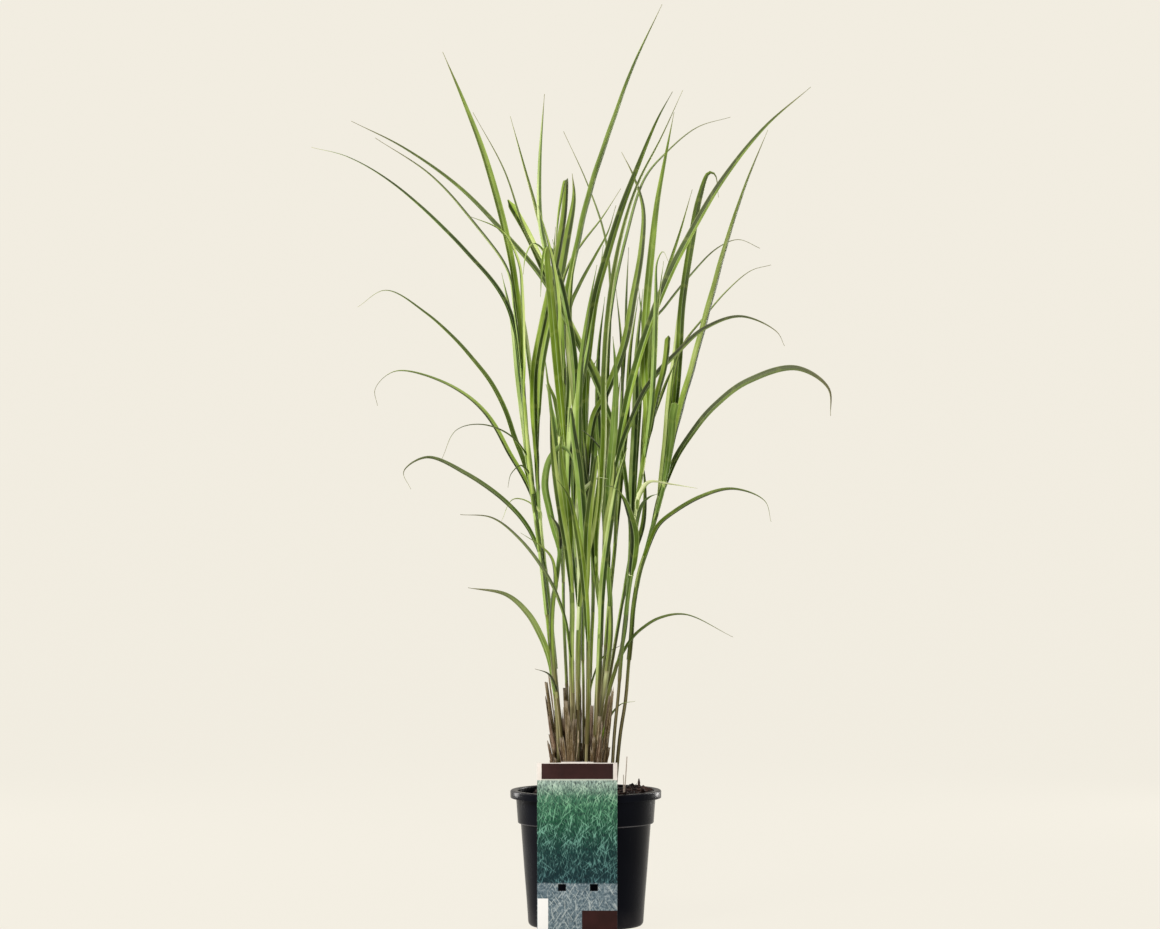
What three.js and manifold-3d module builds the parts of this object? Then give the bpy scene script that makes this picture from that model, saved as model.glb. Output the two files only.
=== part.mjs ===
// A potted porcupine grass: a clump of green culms with long arching blades, rooted in bark
// mix in a black nursery pot, with a folded picture label over the pot's lip.
// Millimetres, +Z up. The origin is the centre of the pot's base and the front faces -Y.

import * as THREE from "three";
import { mergeVertices } from "three/addons/utils/BufferGeometryUtils.js";
import Module from "manifold-3d";

const wasm = await Module();
wasm.setup();

// Pot
const POT_HEIGHT = 170;
const LIP_DIAMETER = 190;
const LIP_DEPTH = 9.5;
const COLLAR_TOP_DIAMETER = 175.5;
const COLLAR_FOOT_DIAMETER = 171;
const LEDGE_HEIGHT = 128;
const BODY_TOP_DIAMETER = 163.5;
const BODY_FOOT_DIAMETER = 145;
const WALL = 1.8;
const FLOOR_THICKNESS = 2.4;
const POT_SIDES = 40;
const DRAIN_HOLES = 8;
const DRAIN_DIAMETER = 11;
const DRAIN_RING_RADIUS = 48;

// Potting mix
const FIT_GAP = 0.35;
const SOIL_LEVEL = 160;
const SOIL_HEAP = 13;
const SOIL_RINGS = [1, 0.78, 0.52, 0.26];
const CHIP_COUNT = 22;
const CHIP_RING = [36, 76];
const STICK = { x: 67, y: 12, length: 22, radius: 2 };
const STUB_DEPTH = 10;
const HOLE_CLEARANCE = 0.5;
const WELL_SPREAD = 3;

// Label
const LABEL_WIDTH = 99;
const LABEL_FOOT = 3;
const LABEL_TOP = 211;
const LABEL_CENTRE_X = -10.7;
const LABEL_THICKNESS = 0.9;
const TONGUE_WIDTH = 40;
const TONGUE_FOOT = 138;
const TONGUE_BEND = 176;
const TONGUE_SETBACK = 18.5;
const NOTCH_WIDTH = 9.8;
const NOTCH_HEIGHT = 8.6;
const NOTCH_MIDDLE = 57;
const NOTCH_OFFSETS = [-18.8, 20.6];

// Grass
const CULM_SIDES = 6;
const CULM_STEP = 62;
const CULM_TAPER = 0.35;
const BLADE_STEP = 46;
const TRUE_WIDTH = 1.15;
const FACE_TO_FRONT = 1.0;
const BLADE_TWIST = 0.6;
const BLADE_ROOT_THICKNESS = 1.0;
const BLADE_TIP_THICKNESS = 0.7;
const ROOT_SINK = 14;
const STEM_GAP = 0.5;

// Every point of the two tables below is written as it stands in a front view of the plant,
// taken from this far in front of the pot's axis, this high and this far to the side.
const VIEW_DISTANCE = 4994;
const VIEW_HEIGHT = 579;
const VIEW_SIDE = -7.3;

// Each stem: radius, depth at the mix and at its top, the culm's line [x, z] from the mix up,
// and its blades. Each blade: height where it leaves the culm, width, depth of its tip, and
// its line [x, z] from there to the tip. A cut blade ends square.
const STEMS = {
  stem_left_outer: {
    radius: 3.0,
    depth: [-4, -35],
    culm: [[-32, 150], [-36, 260], [-44, 340], [-53, 430], [-62, 505], [-71, 570], [-77, 650],
      [-81, 712]],
    blades: [
      { at: 520, width: 8, tip: 70, line: [[-74, 600], [-85, 690], [-93, 760], [-106, 820]] },
      { at: 655, width: 4.5, tip: -70, line: [[-80, 790], [-85, 835], [-105, 872], [-150, 893]] },
      { at: 290, width: 8, tip: -57,
        line: [[-46, 332], [-58, 365], [-73, 391], [-100, 415], [-148, 424]] },
      { at: 566, width: 2.4, tip: -50, line: [[-82, 579], [-94, 568], [-98, 550]] },
      { at: 588, width: 3.2, tip: -70, line: [[-90, 612], [-130, 629], [-163, 622], [-181, 586]] },
      { at: 684, width: 7.5, tip: 90,
        line: [[-100, 780], [-150, 845], [-240, 930], [-300, 966], [-345, 978]] },
      { at: 694, width: 3.6, tip: -110,
        line: [[-90, 772], [-98, 822], [-140, 882], [-195, 943], [-265, 990]] },
      { at: 703, width: 8, tip: -30,
        line: [[-84, 760], [-97, 850], [-127, 965], [-152, 1032], [-180, 1098]] },
    ],
  },
  stem_left_inner: {
    radius: 2.6,
    depth: [10, 32],
    culm: [[-28, 150], [-33, 260], [-39, 330], [-46, 400], [-54, 470], [-59, 530], [-61, 590],
      [-59, 650]],
    blades: [
      { at: 545, width: 9, tip: 40, line: [[-64, 600], [-69, 680], [-79, 760], [-94, 850]] },
      { at: 450, width: 6, tip: -90,
        line: [[-73, 499], [-100, 531], [-150, 567], [-200, 588], [-229, 570], [-220, 548]] },
      { at: 474, width: 7.5, tip: 150,
        line: [[-68, 540], [-95, 590], [-128, 645], [-175, 680], [-240, 696], [-265, 674], [-262, 653]] },
      { at: 488, width: 8.5, tip: 80,
        line: [[-67, 545], [-90, 612], [-112, 668], [-152, 722], [-200, 768], [-252, 798], [-287, 777]] },
      { at: 520, width: 2.6, tip: 0, line: [[-74, 534], [-92, 535], [-106, 508]] },
      { at: 575, width: 9, tip: -170,
        line: [[-65, 640], [-64, 700], [-52, 765], [-38, 830], [-27, 895], [-25, 937],
          [-33, 900], [-39, 840]] },
      { at: 632, width: 9, tip: 110,
        line: [[-56, 700], [-46, 755], [-34, 805], [-24, 862], [-15, 915], [-17, 945]] },
    ],
  },
  stem_left_front: {
    radius: 3.0,
    depth: [-16, -45],
    culm: [[-24, 150], [-33, 260], [-40, 320], [-43, 370], [-41, 410], [-36, 440], [-32, 490],
      [-31, 540], [-34, 650], [-38, 718]],
    blades: [
      { at: 296, width: 3.6, tip: -70, line: [[-45, 314], [-64, 322]] },
      { at: 470, width: 8.5, tip: -75,
        line: [[-45, 520], [-51, 556], [-44, 588], [-31, 601], [-20, 592], [-10, 552]] },
      { at: 430, width: 5, tip: -80, line: [[-42, 459], [-57, 476], [-82, 493]] },
      { at: 474, width: 8, tip: -130, line: [[-35, 497], [-42, 511], [-47, 517]] },
      { at: 615, width: 5, tip: -90, line: [[-39, 660], [-46, 678], [-50, 692]] },
      { at: 650, width: 6.5, tip: 70,
        line: [[-42, 775], [-50, 845], [-61, 893], [-78, 955], [-95, 1017]] },
      { at: 690, width: 6.5, tip: -48,
        line: [[-41, 780], [-49, 835], [-58, 890], [-58, 960], [-52, 1045]] },
      { at: 705, width: 5.5, tip: -150,
        line: [[-44, 800], [-54, 848], [-66, 857], [-75, 843], [-79, 818]] },
    ],
  },
  stem_tall: {
    radius: 2.4,
    depth: [17, 22],
    culm: [[-20, 150], [-24, 300], [-28, 400], [-28, 480], [-27, 560], [-28, 620], [-27, 690],
      [-28, 742]],
    blades: [
      { at: 430, width: 7, tip: 120, line: [[-31, 500], [-35, 570], [-44, 650], [-53, 725]] },
      { at: 560, width: 7, tip: 160,
        line: [[-24, 620], [-20, 690], [-24, 750], [-30, 810], [-42, 862]] },
      { at: 680, width: 3, tip: 60,
        line: [[-38, 790], [-52, 826], [-76, 872], [-103, 950], [-142, 1022]] },
      { at: 700, width: 3.2, tip: 110,
        line: [[-32, 790], [-20, 833], [-4, 858], [20, 889], [44, 926]] },
      { at: 716, width: 9, tip: 10,
        line: [[-27, 770], [-15, 830], [5, 918], [34, 1008], [60, 1080], [96, 1158]] },
    ],
  },
  stem_bright: {
    radius: 3.9,
    depth: [-20, -62],
    culm: [[-12, 150], [-17, 290], [-18, 350], [-17, 395], [-19, 450], [-20, 500], [-24, 560],
      [-28, 620], [-32, 680]],
    blades: [
      { at: 420, width: 9, tip: -216, line: [[-23, 470], [-33, 530], [-41, 590], [-45, 650]] },
      { at: 540, width: 8, tip: -97, line: [[-20, 600], [-10, 660], [2, 720], [10, 775]] },
      { at: 336, width: 4.5, tip: -90,
        line: [[-24, 374], [-33, 405], [-48, 438], [-82, 484], [-118, 512], [-158, 516]] },
      { at: 468, width: 9.5, tip: -180, line: [[-24, 530], [-30, 575], [-32, 605], [-28, 618]] },
      { at: 610, width: 10, tip: -190,
        line: [[-36, 705], [-42, 770], [-47, 822], [-50, 852], [-54, 835], [-57, 790]] },
      { at: 655, width: 7, tip: -125, line: [[-35, 730], [-35, 780], [-42, 835], [-60, 905]] },
    ],
  },
  stem_centre: {
    radius: 3.2,
    depth: [-6, -6],
    culm: [[-6, 150], [-10, 290], [-10, 350], [-8, 400], [-8, 450], [-11, 500], [-9, 560],
      [-11, 620], [-13, 690]],
    blades: [
      { at: 400, width: 8, tip: -160, line: [[-2, 450], [8, 500], [14, 540], [17, 580]] },
      { at: 600, width: 8, tip: 9, line: [[-15, 670], [-21, 740], [-19, 800], [-12, 850]] },
      { at: 500, width: 8, tip: -120, line: [[-5, 541], [5, 554], [16, 562], [28, 561]] },
      { at: 545, width: 8, tip: -40, line: [[-13, 590], [-12, 630], [-8, 656]], cut: true },
      { at: 640, width: 4.5, tip: 90,
        line: [[-18, 740], [-20, 775], [-8, 805], [12, 842], [28, 872], [38, 905]] },
      { at: 655, width: 9, tip: -60,
        line: [[-16, 720], [-24, 770], [-33, 810], [-47, 855]], cut: true },
    ],
  },
  stem_pale: {
    radius: 2.4,
    depth: [23, 50],
    culm: [[-3, 150], [-3, 300], [-4, 355], [-2, 420], [1, 480], [3, 540], [0, 600], [-2, 660]],
    blades: [
      { at: 460, width: 8, tip: 170, line: [[4, 520], [10, 580], [12, 640], [20, 690]] },
      { at: 560, width: 9, tip: 190, line: [[-2, 620], [0, 660], [4, 690], [14, 712]] },
      { at: 600, width: 10, tip: -50,
        line: [[1, 690], [6, 740], [13, 790], [28, 845], [45, 900], [62, 945], [90, 1013], [109, 1048]] },
    ],
  },
  stem_dark: {
    radius: 2.6,
    depth: [8, 14],
    culm: [[2, 150], [5, 300], [7, 355], [9, 400], [9, 440], [6, 500], [2, 560], [0, 606]],
    blades: [
      { at: 440, width: 8, tip: 114, line: [[12, 490], [20, 550], [34, 620], [44, 690]] },
      { at: 296, width: 3, tip: -21, line: [[15, 326], [26, 341], [45, 352]] },
      { at: 560, width: 9, tip: 80,
        line: [[10, 637], [24, 665], [48, 728], [60, 790], [70, 850], [72, 902], [60, 942], [45, 972]] },
      { at: 500, width: 8, tip: -64, line: [[2, 540], [-5, 580], [-7, 620], [-3, 660]] },
    ],
  },
  stem_sheath: {
    radius: 3.4,
    depth: [-23, -36],
    culm: [[9, 150], [14, 280], [17, 350], [18, 395], [14, 430], [12, 470]],
    blades: [
      { at: 370, width: 8, tip: -170, line: [[22, 440], [30, 500], [40, 560], [52, 600]] },
      { at: 400, width: 9.5, tip: -32, line: [[7, 470], [3, 520], [-2, 560], [-4, 590]] },
      { at: 436, width: 10, tip: -60,
        line: [[15, 495], [20, 545], [24, 620], [24, 690], [31, 785], [45, 865], [66, 932],
          [95, 990], [122, 1050]] },
    ],
  },
  stem_middle_right: {
    radius: 2.8,
    depth: [6, 34],
    culm: [[11, 150], [20, 290], [25, 350], [29, 400], [33, 440], [37, 480], [38, 530], [40, 590],
      [45, 650], [47, 700]],
    blades: [
      { at: 480, width: 7, tip: 140, line: [[44, 560], [52, 640], [56, 720], [66, 790]] },
      { at: 540, width: 7, tip: 135, line: [[34, 600], [27, 640], [22, 676], [12, 700]] },
      { at: 620, width: 3.6, tip: 120, line: [[46, 690], [44, 740], [38, 800]] },
      { at: 670, width: 3.2, tip: 74, line: [[50, 740], [51, 790], [54, 852]] },
    ],
  },
  stem_broad: {
    radius: 3.7,
    depth: [-13, -46],
    culm: [[12, 150], [17, 250], [22, 290], [27, 325], [31, 360], [31, 400], [28, 450], [27, 490],
      [29, 530], [34, 565], [41, 597]],
    blades: [
      { at: 505, width: 9, tip: -140, line: [[30, 560], [36, 630], [38, 690], [34, 740]] },
      { at: 450, width: 9, tip: -150, line: [[27, 500], [33, 540], [36, 575], [34, 590]] },
      { at: 555, width: 8, tip: -110,
        line: [[46, 603], [61, 642], [80, 680], [110, 714], [150, 750], [195, 765],
          [240, 746], [250, 728]] },
      { at: 575, width: 9, tip: 40,
        line: [[50, 645], [62, 695], [80, 752], [105, 815], [132, 868], [172, 936],
          [225, 1003], [283, 1054]] },
    ],
  },
  stem_back_right: {
    radius: 2.4,
    depth: [18, 46],
    culm: [[14, 150], [18, 290], [20, 370], [22, 430], [24, 500], [24, 560], [24, 640]],
    blades: [
      { at: 480, width: 7, tip: 200, line: [[21, 560], [15, 640], [16, 720], [24, 790]] },
      { at: 560, width: 3, tip: -97, line: [[20, 594], [8, 611], [-8, 624], [-25, 628]] },
      { at: 572, width: 9.5, tip: 120,
        line: [[20, 670], [-4, 722], [-27, 768], [-48, 812], [-72, 866], [-98, 912]], cut: true },
      { at: 600, width: 3, tip: 160, line: [[29, 720], [31, 800], [24, 866], [2, 932], [-28, 998]] },
      { at: 615, width: 5, tip: 97,
        line: [[26, 700], [34, 785], [50, 860], [74, 938], [100, 970], [140, 1003], [182, 1016]] },
    ],
  },
  stem_crossing: {
    radius: 3.1,
    depth: [-1, 22],
    culm: [[16, 150], [19, 240], [24, 268], [30, 297], [43, 340], [49, 370], [52, 400], [54, 440],
      [56, 480], [55, 520], [51, 552]],
    blades: [
      { at: 232, width: 4, tip: -25, line: [[28, 257], [35, 268], [46, 278], [62, 281]] },
      { at: 480, width: 8, tip: 130, line: [[58, 560], [62, 640], [64, 720], [72, 800]] },
      { at: 330, width: 5, tip: -80, line: [[55, 356], [72, 373], [92, 385], [125, 390], [185, 362]] },
      { at: 500, width: 9, tip: -3,
        line: [[42, 600], [25, 650], [-8, 725], [-52, 808], [-100, 866], [-160, 928],
          [-230, 978], [-295, 1011]] },
    ],
  },
  stem_right_front: {
    radius: 2.7,
    depth: [-8, -56],
    culm: [[31, 150], [36, 240], [41, 290], [44, 330], [48, 370], [54, 420], [60, 460], [63, 500],
      [66, 540], [72, 580], [80, 620], [84, 655]],
    blades: [
      { at: 440, width: 11, tip: -170, line: [[61, 486], [56, 512], [47, 536], [35, 550], [22, 552]] },
      { at: 580, width: 8, tip: -66, line: [[84, 670], [88, 720], [91, 775], [98, 835]] },
      { at: 490, width: 4.5, tip: -110, line: [[70, 527], [80, 538], [90, 542]] },
      { at: 536, width: 6, tip: -120, line: [[78, 556], [105, 554], [140, 549]] },
      { at: 570, width: 9, tip: 54,
        line: [[77, 640], [74, 700], [76, 770], [83, 850], [90, 910], [100, 965], [111, 1022]] },
      { at: 590, width: 6, tip: -170,
        line: [[83, 660], [86, 720], [88, 790], [90, 835], [97, 847], [104, 834]] },
      { at: 610, width: 8, tip: -100, line: [[90, 665], [100, 705], [104, 741]], cut: true },
      { at: 622, width: 4, tip: 60, line: [[93, 660], [102, 684], [114, 711]] },
    ],
  },
  stem_right_outer: {
    radius: 3.0,
    depth: [5, 8],
    culm: [[35, 150], [43, 237], [50, 283], [54, 330], [57, 360], [60, 400], [68, 445], [76, 470],
      [84, 500], [98, 552], [105, 590]],
    blades: [
      { at: 520, width: 8, tip: 120, line: [[100, 600], [105, 660], [112, 720], [118, 790]] },
      { at: 462, width: 7, tip: -90,
        line: [[91, 501], [112, 519], [145, 538], [185, 548], [225, 533], [233, 507]] },
      { at: 474, width: 8, tip: 60,
        line: [[95, 540], [112, 583], [135, 620], [165, 655], [205, 684], [265, 700],
          [305, 675], [308, 640]] },
      { at: 560, width: 8.5, tip: -60, line: [[107, 610], [109, 638], [113, 657]], cut: true },
      { at: 566, width: 9, tip: -20,
        line: [[113, 620], [122, 655], [135, 700], [158, 785], [180, 865], [203, 935], [229, 1000]] },
      { at: 574, width: 8.5, tip: 130,
        line: [[112, 650], [117, 710], [121, 780], [132, 855], [143, 915], [155, 946],
          [162, 944], [167, 915]] },
      { at: 580, width: 3, tip: 50,
        line: [[110, 680], [122, 728], [148, 763], [178, 798], [208, 823], [233, 830]] },
    ],
  },
  stem_far_right: {
    radius: 2.4,
    depth: [27, 90],
    culm: [[17, 150], [27, 290], [38, 360], [50, 430], [60, 490], [67, 540], [72, 590]],
    blades: [
      { at: 470, width: 7, tip: 220, line: [[61, 560], [67, 650], [72, 740], [66, 805]] },
      { at: 400, width: 6, tip: 190, line: [[62, 470], [72, 505], [74, 560], [70, 590]] },
      { at: 540, width: 3.4, tip: 130,
        line: [[76, 660], [84, 756], [100, 778], [128, 813], [165, 851], [192, 862], [219, 851]] },
      { at: 550, width: 6, tip: 150, line: [[78, 680], [88, 772], [103, 824], [118, 870], [134, 925]] },
    ],
  },
  stem_back: {
    radius: 2.7,
    depth: [31, 100],
    culm: [[-10, 150], [-9, 300], [-8, 400], [-12, 470], [-17, 540], [-19, 600]],
    blades: [
      { at: 380, width: 8, tip: 200, line: [[-14, 460], [-26, 540], [-34, 610], [-50, 680]] },
      { at: 460, width: 8, tip: 230, line: [[-14, 540], [-8, 600], [-4, 640], [-2, 610]] },
      { at: 520, width: 8, tip: 279, line: [[-12, 620], [0, 690], [10, 760], [18, 820], [22, 855]] },
      { at: 550, width: 7, tip: 240,
        line: [[-24, 660], [-31, 730], [-37, 800], [-40, 845], [-38, 878]] },
    ],
  },
  stem_front: {
    radius: 2.9,
    depth: [-31, -100],
    culm: [[-1, 150], [3, 300], [2, 400], [-2, 480], [-7, 560]],
    blades: [
      { at: 360, width: 8, tip: -180, line: [[-2, 430], [-10, 490], [-22, 540], [-36, 560]] },
      { at: 420, width: 9, tip: -220, line: [[3, 500], [10, 560], [14, 590], [16, 560]] },
      { at: 470, width: 10, tip: -230, line: [[-8, 560], [-16, 620], [-20, 650], [-22, 620]] },
      { at: 520, width: 8, tip: -190, line: [[-9, 620], [-6, 700], [3, 770], [14, 830]] },
    ],
  },
};

// Each tuft of old culms: its foot [x, y] in the mix, and the radius, lean [x, y] in mm per mm
// and top height of each stub, which all grow from that foot.
const TUFTS = {
  stubs_left: {
    foot: [-27.5, 3],
    stubs: [[3.0, -0.145, -0.005, 306], [2.6, -0.09, 0.0, 270], [2.4, -0.2, 0.02, 240]],
  },
  stubs_left_small: {
    foot: [-31, -21],
    stubs: [[2.5, -0.2, 0.0, 229], [2.1, -0.12, -0.02, 212]],
  },
  stubs_centre: {
    foot: [-19, -1],
    stubs: [[3.8, -0.05, 0.0, 298], [3.4, 0.02, -0.06, 288], [3.0, -0.03, 0.07, 256]],
  },
  stubs_back: { foot: [-13.5, 11], stubs: [[3.0, 0.02, 0.06, 292], [2.6, 0.05, 0.12, 242]] },
  stubs_middle: {
    foot: [4, -8],
    stubs: [[3.4, 0.03, -0.01, 277], [3.0, -0.03, -0.06, 252], [2.8, 0.04, 0.05, 234]],
  },
  stubs_front: {
    foot: [-19, -38],
    stubs: [[3.4, -0.04, -0.03, 284], [3.0, 0.05, -0.05, 262], [2.6, -0.14, 0.0, 238]],
  },
  stubs_front_right: {
    foot: [9, -41],
    stubs: [[3.2, 0.07, -0.07, 266], [2.8, 0.01, -0.14, 240], [2.6, 0.14, -0.05, 226]],
  },
  stubs_right: {
    foot: [14, -29],
    stubs: [[3.5, 0.12, 0.035, 290], [3.0, 0.05, 0.0, 254], [2.6, 0.2, 0.0, 226]],
  },
  straw: { foot: [46, -44], stubs: [[1.0, 0.08, -0.03, 215], [0.8, 0.02, 0.06, 192]] },
};

const COLOURS = {
  pot: new THREE.MeshStandardMaterial({ color: 0x1c1c22, roughness: 0.38, metalness: 0 }),
  soil: new THREE.MeshStandardMaterial({ color: 0x281c18, roughness: 0.95, metalness: 0 }),
  label: new THREE.MeshStandardMaterial({ color: 0x9fb8a8, roughness: 0.35, metalness: 0 }),
  grass: new THREE.MeshStandardMaterial({ color: 0x6e9132, roughness: 0.5, metalness: 0 }),
  stubs: new THREE.MeshStandardMaterial({ color: 0x786450, roughness: 0.85, metalness: 0 }),
  straw: new THREE.MeshStandardMaterial({ color: 0xb8aa90, roughness: 0.8, metalness: 0 }),
};

const part = new THREE.Group();

function solid(geometry) {
  const plain = geometry.clone();
  plain.deleteAttribute("normal");
  plain.deleteAttribute("uv");
  const merged = mergeVertices(plain, 1e-4);
  return new wasm.Manifold(new wasm.Mesh({
    numProp: 3,
    vertProperties: merged.getAttribute("position").array,
    triVerts: new Uint32Array(merged.index.array),
  }));
}

function add(name, body, material) {
  const { vertProperties, triVerts } = body.getMesh();
  const geometry = new THREE.BufferGeometry();
  geometry.setAttribute("position", new THREE.BufferAttribute(vertProperties, 3));
  geometry.setIndex(new THREE.BufferAttribute(triVerts, 1));
  geometry.computeVertexNormals();
  const mesh = new THREE.Mesh(geometry, material);
  mesh.name = name;
  part.add(mesh);
}

function randomFrom(seed) {
  let state = seed;
  return () => {
    state = (state * 16807) % 2147483647;
    return state / 2147483647;
  };
}

// A point of the front view, moved along its line of sight to its own depth.
function setBack([x, z], depth) {
  const scale = 1 + depth / VIEW_DISTANCE;
  return new THREE.Vector3(
    VIEW_SIDE + (x - VIEW_SIDE) * scale,
    depth,
    VIEW_HEIGHT + (z - VIEW_HEIGHT) * scale,
  );
}

// A closed solid through rings of points that all have the same number of points.
// The bottom face of a flat ring is split the other way round, alike with its top face.
function loft(rings, mirrored) {
  const sides = rings[0].length;
  const points = rings.flat();
  const faces = [];
  for (let i = 0; i + 1 < rings.length; i++) {
    for (let j = 0; j < sides; j++) {
      const a = i * sides + j;
      const b = i * sides + ((j + 1) % sides);
      const c = b + sides;
      const d = a + sides;
      if (mirrored === j) faces.push([a, b, d], [b, c, d]);
      else faces.push([a, b, c], [a, c, d]);
    }
  }
  const last = points.length - sides;
  for (let j = 1; j + 1 < sides; j++) {
    faces.push([0, j + 1, j], [last, last + j, last + j + 1]);
  }
  const geometry = new THREE.BufferGeometry().setFromPoints(points);
  geometry.setIndex(faces.flat());
  return solid(geometry);
}

// The inside of the pot's wall, from the floor up, as [radius, height].
function innerWall(gap) {
  const collarTop = COLLAR_TOP_DIAMETER / 2 - WALL - gap;
  return [
    [BODY_FOOT_DIAMETER / 2 - WALL - 3.5 - gap, FLOOR_THICKNESS + gap],
    [BODY_FOOT_DIAMETER / 2 - WALL + 0.2 - gap, FLOOR_THICKNESS + 3.5 + gap],
    [BODY_TOP_DIAMETER / 2 - WALL - gap, LEDGE_HEIGHT - 2 + gap],
    [COLLAR_FOOT_DIAMETER / 2 - WALL - gap, LEDGE_HEIGHT + 1.5 + gap],
    [collarTop, POT_HEIGHT - LIP_DEPTH],
  ];
}

function makePot() {
  const lip = LIP_DIAMETER / 2;
  const collar = COLLAR_TOP_DIAMETER / 2;
  const profile = [
    [0, 0],
    [BODY_FOOT_DIAMETER / 2 - 5, 0],
    [BODY_FOOT_DIAMETER / 2 - 1.5, 1.4],
    [BODY_FOOT_DIAMETER / 2, 5],
    [BODY_TOP_DIAMETER / 2, LEDGE_HEIGHT],
    [COLLAR_FOOT_DIAMETER / 2, LEDGE_HEIGHT + 1.2],
    [collar, POT_HEIGHT - LIP_DEPTH],
    [collar + 0.4, POT_HEIGHT - 2.2],
    [lip - WALL, POT_HEIGHT - 2.2],
    [lip - WALL, POT_HEIGHT - LIP_DEPTH],
    [lip - 0.2, POT_HEIGHT - LIP_DEPTH],
    [lip, POT_HEIGHT - 1.6],
    [lip - 1.6, POT_HEIGHT],
    [collar - 0.6, POT_HEIGHT],
    [collar - WALL, POT_HEIGHT - 1.4],
    ...innerWall(0).reverse(),
    [0, FLOOR_THICKNESS],
    [0, 0],
  ].map(([r, z]) => new THREE.Vector2(r, z));
  const shell = new THREE.LatheGeometry(profile, POT_SIDES).rotateX(Math.PI / 2);
  let body = solid(shell);
  for (let i = 0; i < DRAIN_HOLES; i++) {
    const angle = ((i + 0.5) / DRAIN_HOLES) * Math.PI * 2;
    const hole = new THREE.CylinderGeometry(DRAIN_DIAMETER / 2, DRAIN_DIAMETER / 2, 9, 10);
    hole.rotateX(Math.PI / 2);
    hole.translate(DRAIN_RING_RADIUS * Math.cos(angle), DRAIN_RING_RADIUS * Math.sin(angle), 0);
    body = body.subtract(solid(hole));
  }
  add("pot", body, COLOURS.pot);
}

// Height of the mix: low on the left, heaped up on the right and a little round the clump.
function soilHeight(x, y) {
  const right = Math.max(0, (x + 8) / 70);
  const edge = Math.hypot(x, y) / 85;
  const heap = SOIL_HEAP * Math.min(1, right) * (1 - 0.35 * edge);
  const waves = 1.3 * Math.sin(x * 0.19 + 1) * Math.cos(y * 0.16) + 0.9 * Math.sin(y * 0.33 + x * 0.08);
  return SOIL_LEVEL + heap + waves;
}

function makeSoil(holes) {
  const wall = innerWall(FIT_GAP);
  const topRadius = wall[wall.length - 1][0];
  const top = SOIL_RINGS.map((share) => [topRadius * share, null]);
  const rows = [...wall.slice(0, 4), [topRadius - 0.3, SOIL_LEVEL - 6], ...top];
  const rings = rows.map(([r, z]) => {
    const ring = [];
    for (let j = 0; j < POT_SIDES; j++) {
      const angle = (j / POT_SIDES) * Math.PI * 2;
      const x = r * Math.cos(angle);
      const y = r * Math.sin(angle);
      ring.push(new THREE.Vector3(x, y, z ?? soilHeight(x, y)));
    }
    return ring;
  });
  let body = loft(rings);
  const random = randomFrom(41);
  const [nearest, furthest] = CHIP_RING;
  for (let i = 0; i < CHIP_COUNT; i++) {
    const angle = random() * Math.PI * 2;
    const radius = nearest + (furthest - nearest) * Math.sqrt(random());
    const length = 9 + 13 * random();
    const chip = new THREE.BoxGeometry(length, 5 + 5 * random(), 4 + 2 * random());
    chip.rotateX((random() - 0.5) * 0.9);
    chip.rotateY((random() - 0.5) * 0.7);
    chip.rotateZ(random() * Math.PI);
    const reach = Math.min(radius, topRadius - 2 - length / 2);
    const x = reach * Math.cos(angle);
    const y = reach * Math.sin(angle);
    chip.translate(x, y, soilHeight(x, y) + 0.6);
    const atTongue = y < -56 && Math.abs(x - LABEL_CENTRE_X) < TONGUE_WIDTH;
    if (!atTongue) body = body.add(solid(chip));
  }
  const stick = new THREE.CylinderGeometry(STICK.radius * 0.8, STICK.radius, STICK.length, 5);
  stick.rotateX(Math.PI / 2).rotateY(0.08);
  stick.translate(STICK.x, STICK.y, soilHeight(STICK.x, STICK.y) + 1);
  body = body.add(solid(stick));
  for (const hole of holes) body = body.subtract(hole);
  add("soil", body, COLOURS.soil);
}

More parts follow.
